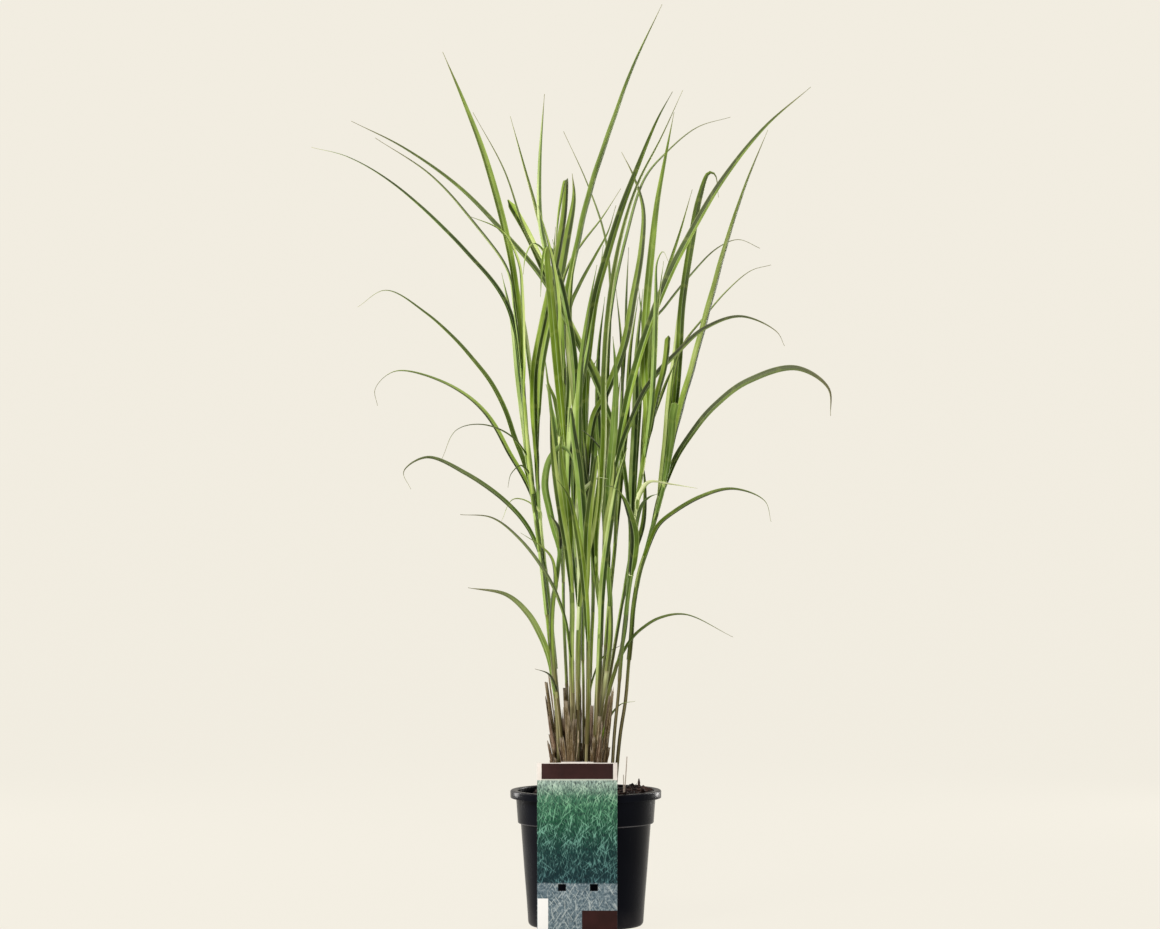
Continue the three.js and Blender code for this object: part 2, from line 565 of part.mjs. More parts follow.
// Labels of this kind are one folded sheet: a wide front, and a tongue that goes down behind
// the lip and into the mix.
function makeLabel() {
  const front = -LIP_DIAMETER / 2 - FIT_GAP;
  const back = front + TONGUE_SETBACK;
  const middle = new THREE.Vector3(LABEL_CENTRE_X, front - LABEL_THICKNESS / 2, 0);
  const sheet = new THREE.BoxGeometry(LABEL_WIDTH, LABEL_THICKNESS, LABEL_TOP - LABEL_FOOT);
  sheet.translate(middle.x, middle.y, (LABEL_TOP + LABEL_FOOT) / 2);
  const side = new THREE.Shape([
    [front - LABEL_THICKNESS * 0.9, LABEL_TOP - 1.2],
    [front - LABEL_THICKNESS * 0.9, LABEL_TOP],
    [front + 1.2, LABEL_TOP],
    [back + LABEL_THICKNESS, TONGUE_BEND],
    [back + LABEL_THICKNESS, TONGUE_FOOT],
    [back, TONGUE_FOOT],
    [back, TONGUE_BEND - 0.5],
    [front + 0.4, LABEL_TOP - 1.2],
  ].map(([y, z]) => new THREE.Vector2(y, z)));
  const tongue = new THREE.ExtrudeGeometry(side, { depth: TONGUE_WIDTH, bevelEnabled: false });
  tongue.applyMatrix4(new THREE.Matrix4().makeBasis(
    new THREE.Vector3(0, 1, 0),
    new THREE.Vector3(0, 0, 1),
    new THREE.Vector3(1, 0, 0),
  ));
  tongue.translate(LABEL_CENTRE_X - TONGUE_WIDTH / 2, 0, 0);
  let body = solid(sheet).add(solid(tongue));
  for (const offset of NOTCH_OFFSETS) {
    const notch = new THREE.BoxGeometry(NOTCH_WIDTH, 4, NOTCH_HEIGHT);
    notch.translate(LABEL_CENTRE_X + offset, front, NOTCH_MIDDLE);
    body = body.subtract(solid(notch));
  }
  add("label", body, COLOURS.label);
  const slot = new THREE.BoxGeometry(TONGUE_WIDTH + 2, LABEL_THICKNESS + 1, 60);
  slot.translate(LABEL_CENTRE_X, back + LABEL_THICKNESS / 2, TONGUE_FOOT + 29);
  return solid(slot);
}

function culmCurve(stem) {
  const bottom = stem.culm[0][1];
  const top = stem.culm[stem.culm.length - 1][1];
  const points = stem.culm.map(([x, z]) => {
    const share = (z - bottom) / (top - bottom);
    return setBack([x, z], stem.depth[0] + (stem.depth[1] - stem.depth[0]) * share);
  });
  return new THREE.CatmullRomCurve3(points);
}

// The point of the culm at a height.
function culmAt(curve, height) {
  let low = 0;
  let high = 1;
  for (let i = 0; i < 24; i++) {
    const middle = (low + high) / 2;
    if (curve.getPoint(middle).z < height) low = middle;
    else high = middle;
  }
  return curve.getPoint(low);
}

// A blade's middle line: up inside the culm, out of it at its own height, and on to the tip.
// Its depth runs from the culm's to the tip's, slowly at first.
function bladeCurve(culm, blade) {
  const root = culmAt(culm, blade.at - ROOT_SINK);
  const collar = culmAt(culm, blade.at);
  const flat = [[collar.x, collar.z], ...blade.line];
  const lengths = [0];
  for (let i = 1; i < flat.length; i++) {
    const step = Math.hypot(flat[i][0] - flat[i - 1][0], flat[i][1] - flat[i - 1][1]);
    lengths.push(lengths[i - 1] + step);
  }
  const total = lengths[lengths.length - 1];
  const outer = blade.line.map((point, i) => {
    const share = (lengths[i + 1] / total) ** 1.15;
    return setBack(point, collar.y + (blade.tip - collar.y) * share);
  });
  return new THREE.CatmullRomCurve3([root, collar, ...outer]);
}

function bladeHalfWidth(blade, share) {
  const full = (blade.width * TRUE_WIDTH) / 2;
  const opening = Math.min(1, 0.45 + 3.2 * share);
  if (blade.cut) return full * opening;
  const taper = share < 0.4 ? 1 : 1 - ((share - 0.4) / 0.6) ** 1.7;
  return Math.max(0.5, full * opening * taper);
}

// Stations along a blade: middle, direction of its width and of its face, and half width.
// At its root the width lies between square to the side that the blade leans to and square
// to the front, and it turns a little on its way to the tip.
function bladeStations(curve, blade) {
  const twist = BLADE_TWIST * Math.sin(blade.at * 1.7 + blade.line[0][0]);
  const count = Math.max(4, Math.min(12, Math.round(curve.getLength() / BLADE_STEP)));
  const root = curve.getPointAt(0);
  const tip = curve.getPointAt(1);
  const lean = new THREE.Vector3(tip.x - root.x, tip.y - root.y, 0).normalize();
  const side = lean.y > 0 ? -1 : 1;
  let across = new THREE.Vector3(-lean.y + side * FACE_TO_FRONT, lean.x, 0).normalize();
  const stations = [];
  for (let i = 0; i <= count; i++) {
    const share = 1 - (1 - i / count) ** 1.2;
    const along = curve.getTangentAt(share);
    across = across.clone().addScaledVector(along, -across.dot(along)).normalize();
    const turned = across.clone().applyAxisAngle(along, twist * share);
    const face = along.clone().cross(turned);
    stations.push({
      middle: curve.getPointAt(share),
      across: turned,
      face,
      half: bladeHalfWidth(blade, share),
      thickness: BLADE_ROOT_THICKNESS + (BLADE_TIP_THICKNESS - BLADE_ROOT_THICKNESS) * share,
    });
  }
  return stations;
}

function bladeSolid(stations) {
  const rings = stations.map(({ middle, across, face, half, thickness }) => {
    const corners = [[1, 1], [-1, 1], [-1, -1], [1, -1]];
    return corners.map(([side, up]) => middle.clone()
      .addScaledVector(across, side * half)
      .addScaledVector(face, (up * thickness) / 2));
  });
  return loft(rings, 2);
}

function culmSolid(curve, radius) {
  const count = Math.round(curve.getLength() / CULM_STEP);
  const rings = [];
  for (let i = 0; i <= count; i++) {
    const middle = curve.getPointAt(i / count);
    const size = radius * (1 - (CULM_TAPER * i) / count);
    const ring = [];
    for (let j = 0; j < CULM_SIDES; j++) {
      const angle = (j / CULM_SIDES) * Math.PI * 2;
      ring.push(new THREE.Vector3(
        middle.x + size * Math.cos(angle),
        middle.y + size * Math.sin(angle),
        middle.z,
      ));
    }
    rings.push(ring);
  }
  return loft(rings);
}

// Round rods that cover a blade or a culm, to measure how near two stems come.
function bladeRods(stations) {
  const rods = [];
  for (let i = 0; i + 1 < stations.length; i++) {
    const lower = stations[i];
    const upper = stations[i + 1];
    const half = Math.max(lower.half, upper.half);
    const lanes = half > 2 ? [-2 / 3, 0, 2 / 3] : [0];
    for (const lane of lanes) {
      rods.push({
        from: lower.middle.clone().addScaledVector(lower.across, lane * lower.half),
        to: upper.middle.clone().addScaledVector(upper.across, lane * upper.half),
        radius: (lanes.length > 1 ? half / 3 : half) + 0.3,
      });
    }
  }
  return rods;
}

function culmRods(curve, radius) {
  const count = Math.round(curve.getLength() / CULM_STEP);
  const rods = [];
  for (let i = 0; i < count; i++) {
    rods.push({
      from: curve.getPointAt(i / count),
      to: curve.getPointAt((i + 1) / count),
      radius: radius * (1 - (CULM_TAPER * i) / count),
    });
  }
  return rods;
}

function rodGap(one, other) {
  const reach = one.radius + other.radius;
  const d1 = one.to.clone().sub(one.from);
  const d2 = other.to.clone().sub(other.from);
  const between = one.from.clone().sub(other.from);
  const a = d1.dot(d1);
  const e = d2.dot(d2);
  const f = d2.dot(between);
  const c = d1.dot(between);
  const b = d1.dot(d2);
  const spread = a * e - b * b;
  let s = spread > 1e-9 ? THREE.MathUtils.clamp((b * f - c * e) / spread, 0, 1) : 0;
  let t = (b * s + f) / e;
  if (t < 0) {
    t = 0;
    s = THREE.MathUtils.clamp(-c / a, 0, 1);
  } else if (t > 1) {
    t = 1;
    s = THREE.MathUtils.clamp((b - c) / a, 0, 1);
  }
  const near = one.from.clone().addScaledVector(d1, s);
  const far = other.from.clone().addScaledVector(d2, t);
  return near.distanceTo(far) - reach;
}

function boxOf(rods) {
  const box = new THREE.Box3();
  for (const rod of rods) {
    box.expandByPoint(rod.from);
    box.expandByPoint(rod.to);
  }
  return box.expandByScalar(8);
}

// The smallest gap between some rods and everything of the other stems.
function smallestGap(rods, others) {
  const box = boxOf(rods);
  let nearest = { gap: Infinity, owner: "" };
  for (const other of others) {
    if (!other.box.intersectsBox(box)) continue;
    for (const rod of rods) {
      for (const rival of other.rods) {
        const gap = rodGap(rod, rival);
        if (gap < nearest.gap) nearest = { gap, owner: other.owner };
      }
    }
  }
  return nearest;
}

function makeGrass() {
  const placed = [];
  const holes = [];
  const culms = {};

  // Keeps the rods of a new piece, once it is clear of every other stem and tuft.
  function keepClear(what, owner, rods) {
    const near = smallestGap(rods, placed.filter((item) => item.owner !== owner));
    if (near.gap < STEM_GAP) throw new Error(`${what} is ${near.gap.toFixed(1)} mm from ${near.owner}`);
    placed.push({ owner, rods, box: boxOf(rods) });
  }

  for (const [name, stem] of Object.entries(STEMS)) {
    const curve = culmCurve(stem);
    keepClear(name, name, culmRods(curve, stem.radius));
    culms[name] = curve;
    holes.push(stemHole(curve.getPoint(0), curve.getPoint(0.05), stem.radius));
  }
  for (const [name, tuft] of Object.entries(TUFTS)) {
    const foot = new THREE.Vector3(tuft.foot[0], tuft.foot[1], SOIL_LEVEL - STUB_DEPTH);
    let body = null;
    for (const [radius, leanX, leanY, top] of tuft.stubs) {
      const rise = top - foot.z;
      const end = new THREE.Vector3(foot.x + leanX * rise, foot.y + leanY * rise, top);
      const curve = new THREE.LineCurve3(foot, end);
      keepClear(name, name, culmRods(curve, radius));
      const stub = culmSolid(curve, radius);
      body = body ? body.add(stub) : stub;
    }
    holes.push(stemHole(foot, foot.clone().setZ(SOIL_LEVEL), tuft.stubs[0][0] + WELL_SPREAD));
    add(name, body, name === "straw" ? COLOURS.straw : COLOURS.stubs);
  }
  for (const [name, stem] of Object.entries(STEMS)) {
    let body = culmSolid(culms[name], stem.radius);
    for (const blade of stem.blades) {
      const stations = bladeStations(bladeCurve(culms[name], blade), blade);
      keepClear(`${name} blade at ${blade.at}`, name, bladeRods(stations));
      body = body.add(bladeSolid(stations));
    }
    add(name, body, COLOURS.grass);
  }
  return holes;
}

function stemHole(foot, above, radius) {
  const direction = above.clone().sub(foot).normalize();
  const hole = new THREE.CylinderGeometry(radius + HOLE_CLEARANCE, radius + HOLE_CLEARANCE, 60, 7);
  hole.rotateX(Math.PI / 2);
  hole.translate(0, 0, 30 - HOLE_CLEARANCE);
  const turn = new THREE.Quaternion().setFromUnitVectors(new THREE.Vector3(0, 0, 1), direction);
  hole.applyQuaternion(turn);
  hole.translate(foot.x, foot.y, foot.z);
  return solid(hole);
}

makePot();
const slot = makeLabel();
const stemHoles = makeGrass();
makeSoil([slot, ...stemHoles]);

export default part;
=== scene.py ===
import math
import random

import bmesh
import bpy
import numpy as np
from mathutils import Matrix, Vector, noise


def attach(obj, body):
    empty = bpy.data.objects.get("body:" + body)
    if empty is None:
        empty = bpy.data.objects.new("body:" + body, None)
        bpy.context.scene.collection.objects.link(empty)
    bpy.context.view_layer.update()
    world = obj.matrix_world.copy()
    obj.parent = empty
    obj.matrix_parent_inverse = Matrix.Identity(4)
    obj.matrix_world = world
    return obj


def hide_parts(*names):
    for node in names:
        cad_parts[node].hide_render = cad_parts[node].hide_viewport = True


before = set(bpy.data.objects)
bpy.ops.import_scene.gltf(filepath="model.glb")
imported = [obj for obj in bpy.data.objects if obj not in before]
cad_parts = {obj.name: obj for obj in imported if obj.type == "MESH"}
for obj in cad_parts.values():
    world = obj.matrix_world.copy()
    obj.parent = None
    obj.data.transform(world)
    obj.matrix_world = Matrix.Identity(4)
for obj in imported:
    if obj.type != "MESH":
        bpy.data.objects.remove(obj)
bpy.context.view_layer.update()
MM = 0.001


# The view: level with the middle of the plant and five metres in front of it, through a long
# lens, so that the pot's rim is seen almost from the side. The eye's place is in mm.
EYE_SIDE, EYE_DISTANCE, EYE_HEIGHT = -7.3, 4994, 579
bpy.ops.object.select_all(action="DESELECT")
bpy.ops.object.camera_add(location=(EYE_SIDE * MM, -EYE_DISTANCE * MM, EYE_HEIGHT * MM),
                          rotation=(math.pi / 2, 0, 0))
camera = bpy.context.object
camera.name = "camera"
camera.data.sensor_width = 36
camera.data.lens = 123.2
camera.data.clip_end = 60
bpy.context.scene.camera = camera
bpy.context.scene.view_settings.view_transform = "Standard"


# The studio: pale cream paper lies on the floor and curves up into a low wall all the way round,
# under a bright room, with a large soft lamp at the upper left, a tall one each side behind the
# plant and a weak one in front.
PAPER_REACH, PAPER_CURVE, PAPER_WALL, CURVE_STEPS = 7, 2, 2.5, 16
bpy.ops.mesh.primitive_circle_add(vertices=128, radius=PAPER_REACH, fill_type="NGON")
paper = bpy.context.object
paper.name = "paper_backdrop"
bpy.ops.object.mode_set(mode="EDIT")
bpy.ops.mesh.select_mode(type="EDGE")
bpy.ops.mesh.select_all(action="SELECT")
reach, height = PAPER_REACH, 0
for step in range(1, CURVE_STEPS + 1):
    lift = step / CURVE_STEPS * math.pi / 2
    wider = PAPER_REACH + PAPER_CURVE * math.sin(lift)
    higher = PAPER_CURVE - PAPER_CURVE * math.cos(lift)
    bpy.ops.mesh.extrude_edges_move(TRANSFORM_OT_translate={"value": (0, 0, higher - height)})
    grow = wider / reach
    bpy.ops.transform.resize(value=(grow, grow, 1), center_override=(0, 0, higher))
    reach, height = wider, higher
bpy.ops.mesh.extrude_edges_move(TRANSFORM_OT_translate={"value": (0, 0, PAPER_WALL)})
bpy.ops.mesh.select_all(action="SELECT")
bpy.ops.mesh.normals_make_consistent(inside=True)
bpy.ops.object.mode_set(mode="OBJECT")
bpy.ops.object.shade_smooth()
paper_finish = bpy.data.materials.new("cream_paper")
paper_finish.use_nodes = True
paper_shader = paper_finish.node_tree.nodes["Principled BSDF"]
paper_shader.inputs["Base Color"].default_value = (0.018, 0.0174, 0.0159, 1)
paper_shader.inputs["Roughness"].default_value = 0.9
paper_shader.inputs["Specular IOR Level"].default_value = 0
paper_shader.inputs["Emission Color"].default_value = (0.887, 0.847, 0.753, 1)
paper_shader.inputs["Emission Strength"].default_value = 0.985
paper.data.materials.append(paper_finish)

room = bpy.data.worlds.new("room")
room.use_nodes = True
room.node_tree.nodes["Background"].inputs["Color"].default_value = (0.93, 0.96, 1, 1)
room.node_tree.nodes["Background"].inputs["Strength"].default_value = 0.2
bpy.context.scene.world = room
for name, place, aim, width, height, power in [
    ("lamp_upper_left", (-1.9, -2.6, 2.6), (0, 0, 0.6), 1.2, 1.2, 172),
    ("lamp_left", (-1.75, 1.5, 0.75), (0, 0, 0.4), 0.45, 2.0, 60),
    ("lamp_right", (1.5, 1.75, 0.75), (0, 0, 0.4), 0.3, 2.0, 52),
    ("lamp_front", (1.2, -4.2, 1.5), (0, 0, 0.5), 1.2, 1.2, 16),
]:
    bpy.ops.object.light_add(type="AREA", location=place)
    lamp = bpy.context.object
    lamp.name = name
    lamp.data.shape = "RECTANGLE"
    lamp.data.size = width
    lamp.data.size_y = height
    lamp.data.energy = power
    lamp.data.color = (1, 0.975, 0.94)
    lamp.rotation_euler = (Vector(aim) - Vector(place)).to_track_quat("-Z", "Y").to_euler()


# Pot: one thin shell of black polypropylene, injection-moulded. Its wall tapers, steps out to a
# collar and ends in a rim that is turned down outside. Eight round drain holes pierce its floor.
POT_OUTSIDE = [
    (67.5, 0), (69.8, 0.3), (71, 1.4), (72, 3), (72.5, 5), (74.6, 35), (77, 65), (79.4, 97),
    (81.75, 128), (83.4, 128.5), (84.9, 128.7), (85.5, 129.4), (86.6, 145), (87.75, 160.5),
    (88.15, 166.6), (89.2, 167.8), (92, 167.8), (93.2, 166.8), (93.2, 160.7), (93.5, 160.3),
    (94.5, 160.3), (94.8, 160.7), (95, 168), (94.6, 169.2), (93.4, 170), (88, 170),
]
POT_INSIDE = [
    (86.8, 169.7), (86, 168.6), (85.95, 160.5), (83.7, 129.5), (79.95, 126), (70.9, 5.9),
    (69.6, 3.4), (67.2, 2.4),
]
DRAIN_HOLES, DRAIN_RING, DRAIN_RADIUS = 8, 48, 5.5


def turned(name, sides, profile):
    """A piece of the given rings, from the first to the last (radius, height) in mm, closed."""
    bpy.ops.object.select_all(action="DESELECT")
    bpy.ops.mesh.primitive_circle_add(vertices=sides, radius=profile[0][0] * MM)
    piece = bpy.context.object
    piece.name = name
    piece.data.transform(Matrix.Translation((0, 0, profile[0][1] * MM)))
    bpy.ops.object.mode_set(mode="EDIT")
    bpy.ops.mesh.select_all(action="SELECT")
    bpy.ops.mesh.edge_face_add()
    bpy.ops.mesh.delete(type="ONLY_FACE")
    bpy.ops.mesh.select_all(action="SELECT")
    for (radius, height), (next_radius, next_height) in zip(profile, profile[1:]):
        step = (0, 0, (next_height - height) * MM)
        bpy.ops.mesh.extrude_edges_move(TRANSFORM_OT_translate={"value": step})
        grow = next_radius / radius
        bpy.ops.transform.resize(value=(grow, grow, 1), center_override=(0, 0, next_height * MM))
    bpy.ops.mesh.edge_face_add()
    bpy.ops.mesh.select_non_manifold()
    bpy.ops.mesh.edge_face_add()
    bpy.ops.mesh.select_all(action="SELECT")
    bpy.ops.mesh.normals_make_consistent(inside=False)
    bpy.ops.object.mode_set(mode="OBJECT")
    return piece


def take(piece):
    """Makes this the active piece and the only selected one."""
    bpy.ops.object.select_all(action="DESELECT")
    bpy.context.view_layer.objects.active = piece
    piece.select_set(True)


def finish_with(piece, kind, **settings):
    """Adds one modifier with its settings and applies it."""
    take(piece)
    change = piece.modifiers.new(kind.lower(), kind)
    for setting, value in settings.items():
        setattr(change, setting, value)
    bpy.ops.object.modifier_apply(modifier=change.name)


def joined(name, pieces):
    """The pieces as one object of that name, its own place at the origin."""
    bpy.ops.object.select_all(action="DESELECT")
    for piece in pieces:
        piece.select_set(True)
    bpy.context.view_layer.objects.active = pieces[0]
    bpy.ops.object.join()
    whole = bpy.context.object
    whole.name = whole.data.name = name
    return whole


def rounded(piece, degrees):
    """Smooth shading across edges that turn less than this."""
    take(piece)
    bpy.ops.object.shade_smooth_by_angle(angle=math.radians(degrees))


pot = turned("pot_shell", 144, POT_OUTSIDE + POT_INSIDE)
drills = []
for hole in range(DRAIN_HOLES):
    turn = (hole + 0.5) * math.tau / DRAIN_HOLES
    drill = turned("drill", 32, [(DRAIN_RADIUS, -3), (DRAIN_RADIUS, 8)])
    ring_spot = Vector((math.cos(turn), math.sin(turn), 0)) * DRAIN_RING * MM
    drill.data.transform(Matrix.Translation(ring_spot))
    drills.append(drill)
drill = joined("drill", drills)
finish_with(pot, "BOOLEAN", object=drill, operation="DIFFERENCE", solver="EXACT")
bpy.data.objects.remove(drill)
finish_with(pot, "BEVEL", width=0.35 * MM, segments=2, limit_method="ANGLE", angle_limit=0.5)
rounded(pot, 32)


class Wire:
    """A socket of a finish that takes part in sums, each of which adds one Math node."""

    def __init__(self, finish, socket):
        self.finish, self.socket = finish, socket

    def sum(self, operation, first, second=0.0):
        return self.finish.node("Math", {"operation": operation}, {0: first, 1: second})

    def __add__(self, other):
        return self.sum("ADD", self, other)

    def __radd__(self, other):
        return self.sum("ADD", other, self)

    def __sub__(self, other):
        return self.sum("SUBTRACT", self, other)

    def __rsub__(self, other):
        return self.sum("SUBTRACT", other, self)

    def __mul__(self, other):
        return self.sum("MULTIPLY", self, other)

    def __rmul__(self, other):
        return self.sum("MULTIPLY", other, self)

    def __truediv__(self, other):
        return self.sum("DIVIDE", self, other)

    def __abs__(self):
        return self.sum("ABSOLUTE", self)

    def sine(self):
        return self.sum("SINE", self)


class Finish:
    """A material whose look is worked out from the place on the piece."""

    def __init__(self, name, **constants):
        self.material = bpy.data.materials.new(name)
        self.material.use_nodes = True
        self.tree = self.material.node_tree
        self.shader = self.tree.nodes["Principled BSDF"]
        for socket, value in constants.items():
            self.shader.inputs[socket.replace("_", " ")].default_value = value

    def set(self, socket, value):
        if isinstance(value, Wire):
            self.tree.links.new(value.socket, socket)
        else:
            socket.default_value = value

    def node(self, kind, settings=None, inputs=None, output=0):
        """A node of that type: its settings first, a ramp's stops among them, then its sockets."""
        made = self.tree.nodes.new("ShaderNode" + kind)
        for name, value in (settings or {}).items():
            if name == "stops":
                while len(made.color_ramp.elements) < len(value):
                    made.color_ramp.elements.new(0.5)
                for stop, (place, colour) in zip(made.color_ramp.elements, value):
                    stop.position = place
                    stop.color = (*colour, 1)
            else:
                setattr(made, name, value)
        for socket, value in (inputs or {}).items():
            self.set(made.inputs[socket], value)
        return Wire(self, made.outputs[output])

    def place(self, x=1, y=1, z=1):
        """The place on the piece in metres, stretched by these factors."""
        here = self.node("TexCoord", output="Object")
        return self.node("Mapping", inputs={"Vector": here, "Scale": (x, y, z)})

    def axis(self, letter):
        return self.node("SeparateXYZ", inputs={0: self.node("TexCoord", output="Object")},
                         output="XYZ".index(letter))

    def attribute(self, name):
        return self.node("Attribute", {"attribute_name": name}, output="Fac")

    def cloud(self, scale, detail=3, where=None, rough=0.5, twist=0):
        """Soft patches between 0 and 1, this many to the metre."""
        return self.node("TexNoise", {}, {"Vector": where or self.place(), "Scale": scale,
                                          "Detail": detail, "Roughness": rough,
                                          "Distortion": twist}, output="Fac")

    def between(self, value, low, high):
        """0 at low, 1 at high, smooth between, also where low is the larger."""
        return self.node("MapRange", {"interpolation_type": "SMOOTHSTEP"},
                         {"Value": value, "From Min": low, "From Max": high})

    def ramp(self, value, *stops):
        return self.node("ValToRGB", {"stops": stops}, {"Fac": value})

    def blend(self, share, first, second):
        """The first colour, and the second where share is 1."""
        first, second = [c if isinstance(c, Wire) else (*c, 1) for c in (first, second)]
        return self.node("Mix", {"data_type": "RGBA"}, {0: share, 6: first, 7: second}, output=2)

    def wear(self, piece, colour, roughness, relief=None, depth=0.0002):
        """Puts the finish on the piece, with relief in metres at full depth."""
        self.set(self.shader.inputs["Base Color"], colour)
        self.set(self.shader.inputs["Roughness"], roughness)
        if relief is not None:
            self.set(self.shader.inputs["Normal"], self.node(
                "Bump", {}, {"Strength": 1.0, "Distance": depth, "Height": relief}, output="Normal"))
        piece.data.materials.clear()
        piece.data.materials.append(self.material)


plastic = Finish("black_pot_plastic", Specular_IOR_Level=0.035, Specular_Tint=(0.78, 0.84, 1, 1))
haze = plastic.cloud(14, 4)
scuffs = plastic.between(plastic.cloud(60, 6, plastic.place(1, 1, 0.12), 0.65), 0.56, 0.74)
dust = (plastic.between(plastic.axis("Z"), 0.03, 0.0) * plastic.cloud(90, 4) * 0.5
        + plastic.between(plastic.axis("Z"), 0.1675, 0.1702) * 0.2)
black = plastic.ramp(haze, (0.3, (0.0020, 0.0024, 0.0044)), (0.75, (0.0042, 0.0048, 0.0082)))
black = plastic.blend(scuffs * 0.25, black, (0.02, 0.02, 0.026))
# Painted highlight: a thin pale line along the step at the foot of the collar, where its edge would catch
# the light.
ledge_highlight = plastic.between(abs(plastic.axis("Z") - 0.129), 0.0011, 0.0003) * plastic.cloud(35, 3)
black = plastic.blend(ledge_highlight * 0.9, black, (0.16, 0.155, 0.17))
black = plastic.blend(dust * 0.7, black, (0.07, 0.062, 0.066))
plastic.wear(pot, black, 0.20 + haze * 0.1 + scuffs * 0.10 + dust * 0.3,
             plastic.cloud(900, 2) * 0.25 + plastic.cloud(45, 2) * 0.75, 0.00012)
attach(pot, "root")
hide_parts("pot")


# Potting mix: one damp body of peat and composted bark that fills the pot to a finger's width
# under the rim and is heaped to the right. Loose bark chips and fibres lie on it, and one splinter
# stands upright.
MIX_LEVEL, MIX_REACH, CHIPS, FIBRES, LABEL_MIDDLE = 160, 85.5, 420, 120, -10.7
SPLINTER_SPOT = (67, 12)


def mix_height(x, y):
    """The height of the mix in mm at a place in mm, as the CAD solid has it."""
    heap = 13 * min(1, max(0, (x + 8) / 70)) * (1 - 0.35 * math.hypot(x, y) / 85)
    waves = 1.3 * math.sin(0.19 * x + 1) * math.cos(0.16 * y) + 0.9 * math.sin(0.33 * y + 0.08 * x)
    return MIX_LEVEL + heap + waves


rings = [(MIX_REACH * (1 - i / 62), MIX_LEVEL) for i in range(1, 61)]
mix = turned("potting_mix", 180, [
    (66.9, 2.7), (70.5, 6.1), (79.6, 126.3), (83.3, 129.8), (MIX_REACH, 156), (MIX_REACH, MIX_LEVEL),
] + rings)
for corner in mix.data.vertices:
    if corner.co.z > (MIX_LEVEL - 0.5) * MM:
        x, y = corner.co.x / MM, corner.co.y / MM
        crumbs = 1.5 * noise.noise(corner.co * 110) + 1.1 * noise.noise(corner.co * 260)
        corner.co.z = (mix_height(x, y) + crumbs * min(1, (86 - math.hypot(x, y)) / 6)) * MM


def copy_of(piece):
    """A copy of the piece in the scene, with a mesh of its own."""
    double = piece.copy()
    double.data = piece.data.copy()
    bpy.context.collection.objects.link(double)
    return double


def mark(piece, name, values):
    """Gives each corner of the piece its value of this attribute, or all of them the one value."""
    if isinstance(values, (int, float)):
        values = [values] * len(piece.data.vertices)
    piece.data.attributes.new(name, "FLOAT", "POINT").data.foreach_set("value", values)


dice = random.Random(41)
chip_shapes = []
for shape in range(5):
    bpy.ops.object.select_all(action="DESELECT")
    bpy.ops.mesh.primitive_cube_add(size=1)
    chip = bpy.context.object
    bpy.ops.object.mode_set(mode="EDIT")
    bpy.ops.mesh.subdivide(number_cuts=1)
    bpy.ops.object.mode_set(mode="OBJECT")
    for corner in chip.data.vertices:
        ends = abs(corner.co.x) > 0.4
        corner.co.x *= 1 + dice.uniform(-0.3, 0.2)
        corner.co.y *= (0.65 if ends else 1.1) + dice.uniform(-0.25, 0.2)
        corner.co.z *= (0.6 if ends else 1.0) + dice.uniform(-0.2, 0.3)
        corner.co.z += 0.25 * corner.co.x * (shape - 2)
    chip_shapes.append(chip)
scraps = []
for number in range(CHIPS):
    turn = dice.uniform(0, math.tau)
    reach = 84 * math.sqrt(dice.uniform(0.02, 1))
    big = dice.random() < 0.2
    length = dice.uniform(9, 17) if big else dice.uniform(3, 9)
    reach = min(reach, 84 - length / 2)
    x, y = reach * math.cos(turn), reach * math.sin(turn)
    in_label_slot = abs(x - LABEL_MIDDLE) < 24 and -83 < y < -70
    if in_label_slot:
        continue
    chip = copy_of(chip_shapes[number % 5])
    lie = Matrix.Rotation(dice.uniform(0, math.tau), 4, "Z") @ Matrix.Rotation(
        dice.gauss(0, 0.35), 4, "Y") @ Matrix.Rotation(dice.gauss(0, 0.4), 4, "X")
    size = Matrix.Diagonal((length * MM, length * dice.uniform(0.3, 0.6) * MM,
                            min(length * 0.4, dice.uniform(1.4, 3.6)) * MM, 1))
    rest = Matrix.Translation((x * MM, y * MM, (mix_height(x, y) + dice.uniform(0, 1.6)) * MM))
    chip.data.transform(rest @ lie @ size)
    mark(chip, "shade", dice.random())
    scraps.append(chip)
for chip in chip_shapes:
    bpy.data.objects.remove(chip)
splinter = turned("splinter", 7, [(2, -6), (1.9, 2), (1.6, 6), (1.7, 9), (1.1, 12), (0.5, 14)])
splinter.data.transform(Matrix.Translation(Vector((*SPLINTER_SPOT, mix_height(*SPLINTER_SPOT))) * MM))
mark(splinter, "shade", 0.9)
scraps.append(splinter)
for number in range(FIBRES):
    fibre = turned("fibre", 4, [(0.3, 0), (0.34, 4), (0.3, 8), (0.24, 12), (0.1, 15)])
    bend, sway = dice.uniform(-0.05, 0.05), dice.uniform(0, math.tau)
    for corner in fibre.data.vertices:
        corner.co.x += bend * corner.co.z ** 2 / (10 * MM)
        corner.co.y += 0.6 * MM * math.sin(corner.co.z / MM * 0.5 + sway)
    turn, reach = dice.uniform(0, math.tau), dice.uniform(20, 74)
    x, y = reach * math.cos(turn), reach * math.sin(turn)
    fibre.data.transform(
        Matrix.Translation((x * MM, y * MM, (mix_height(x, y) + dice.uniform(0.4, 2)) * MM))
        @ Matrix.Rotation(dice.uniform(0, math.tau), 4, "Z")
        @ Matrix.Rotation(dice.uniform(1.2, 1.75), 4, "Y"))
    mark(fibre, "shade", dice.uniform(0.3, 1))
    scraps.append(fibre)
mix = joined("potting_mix", [mix] + scraps)
rounded(mix, 40)

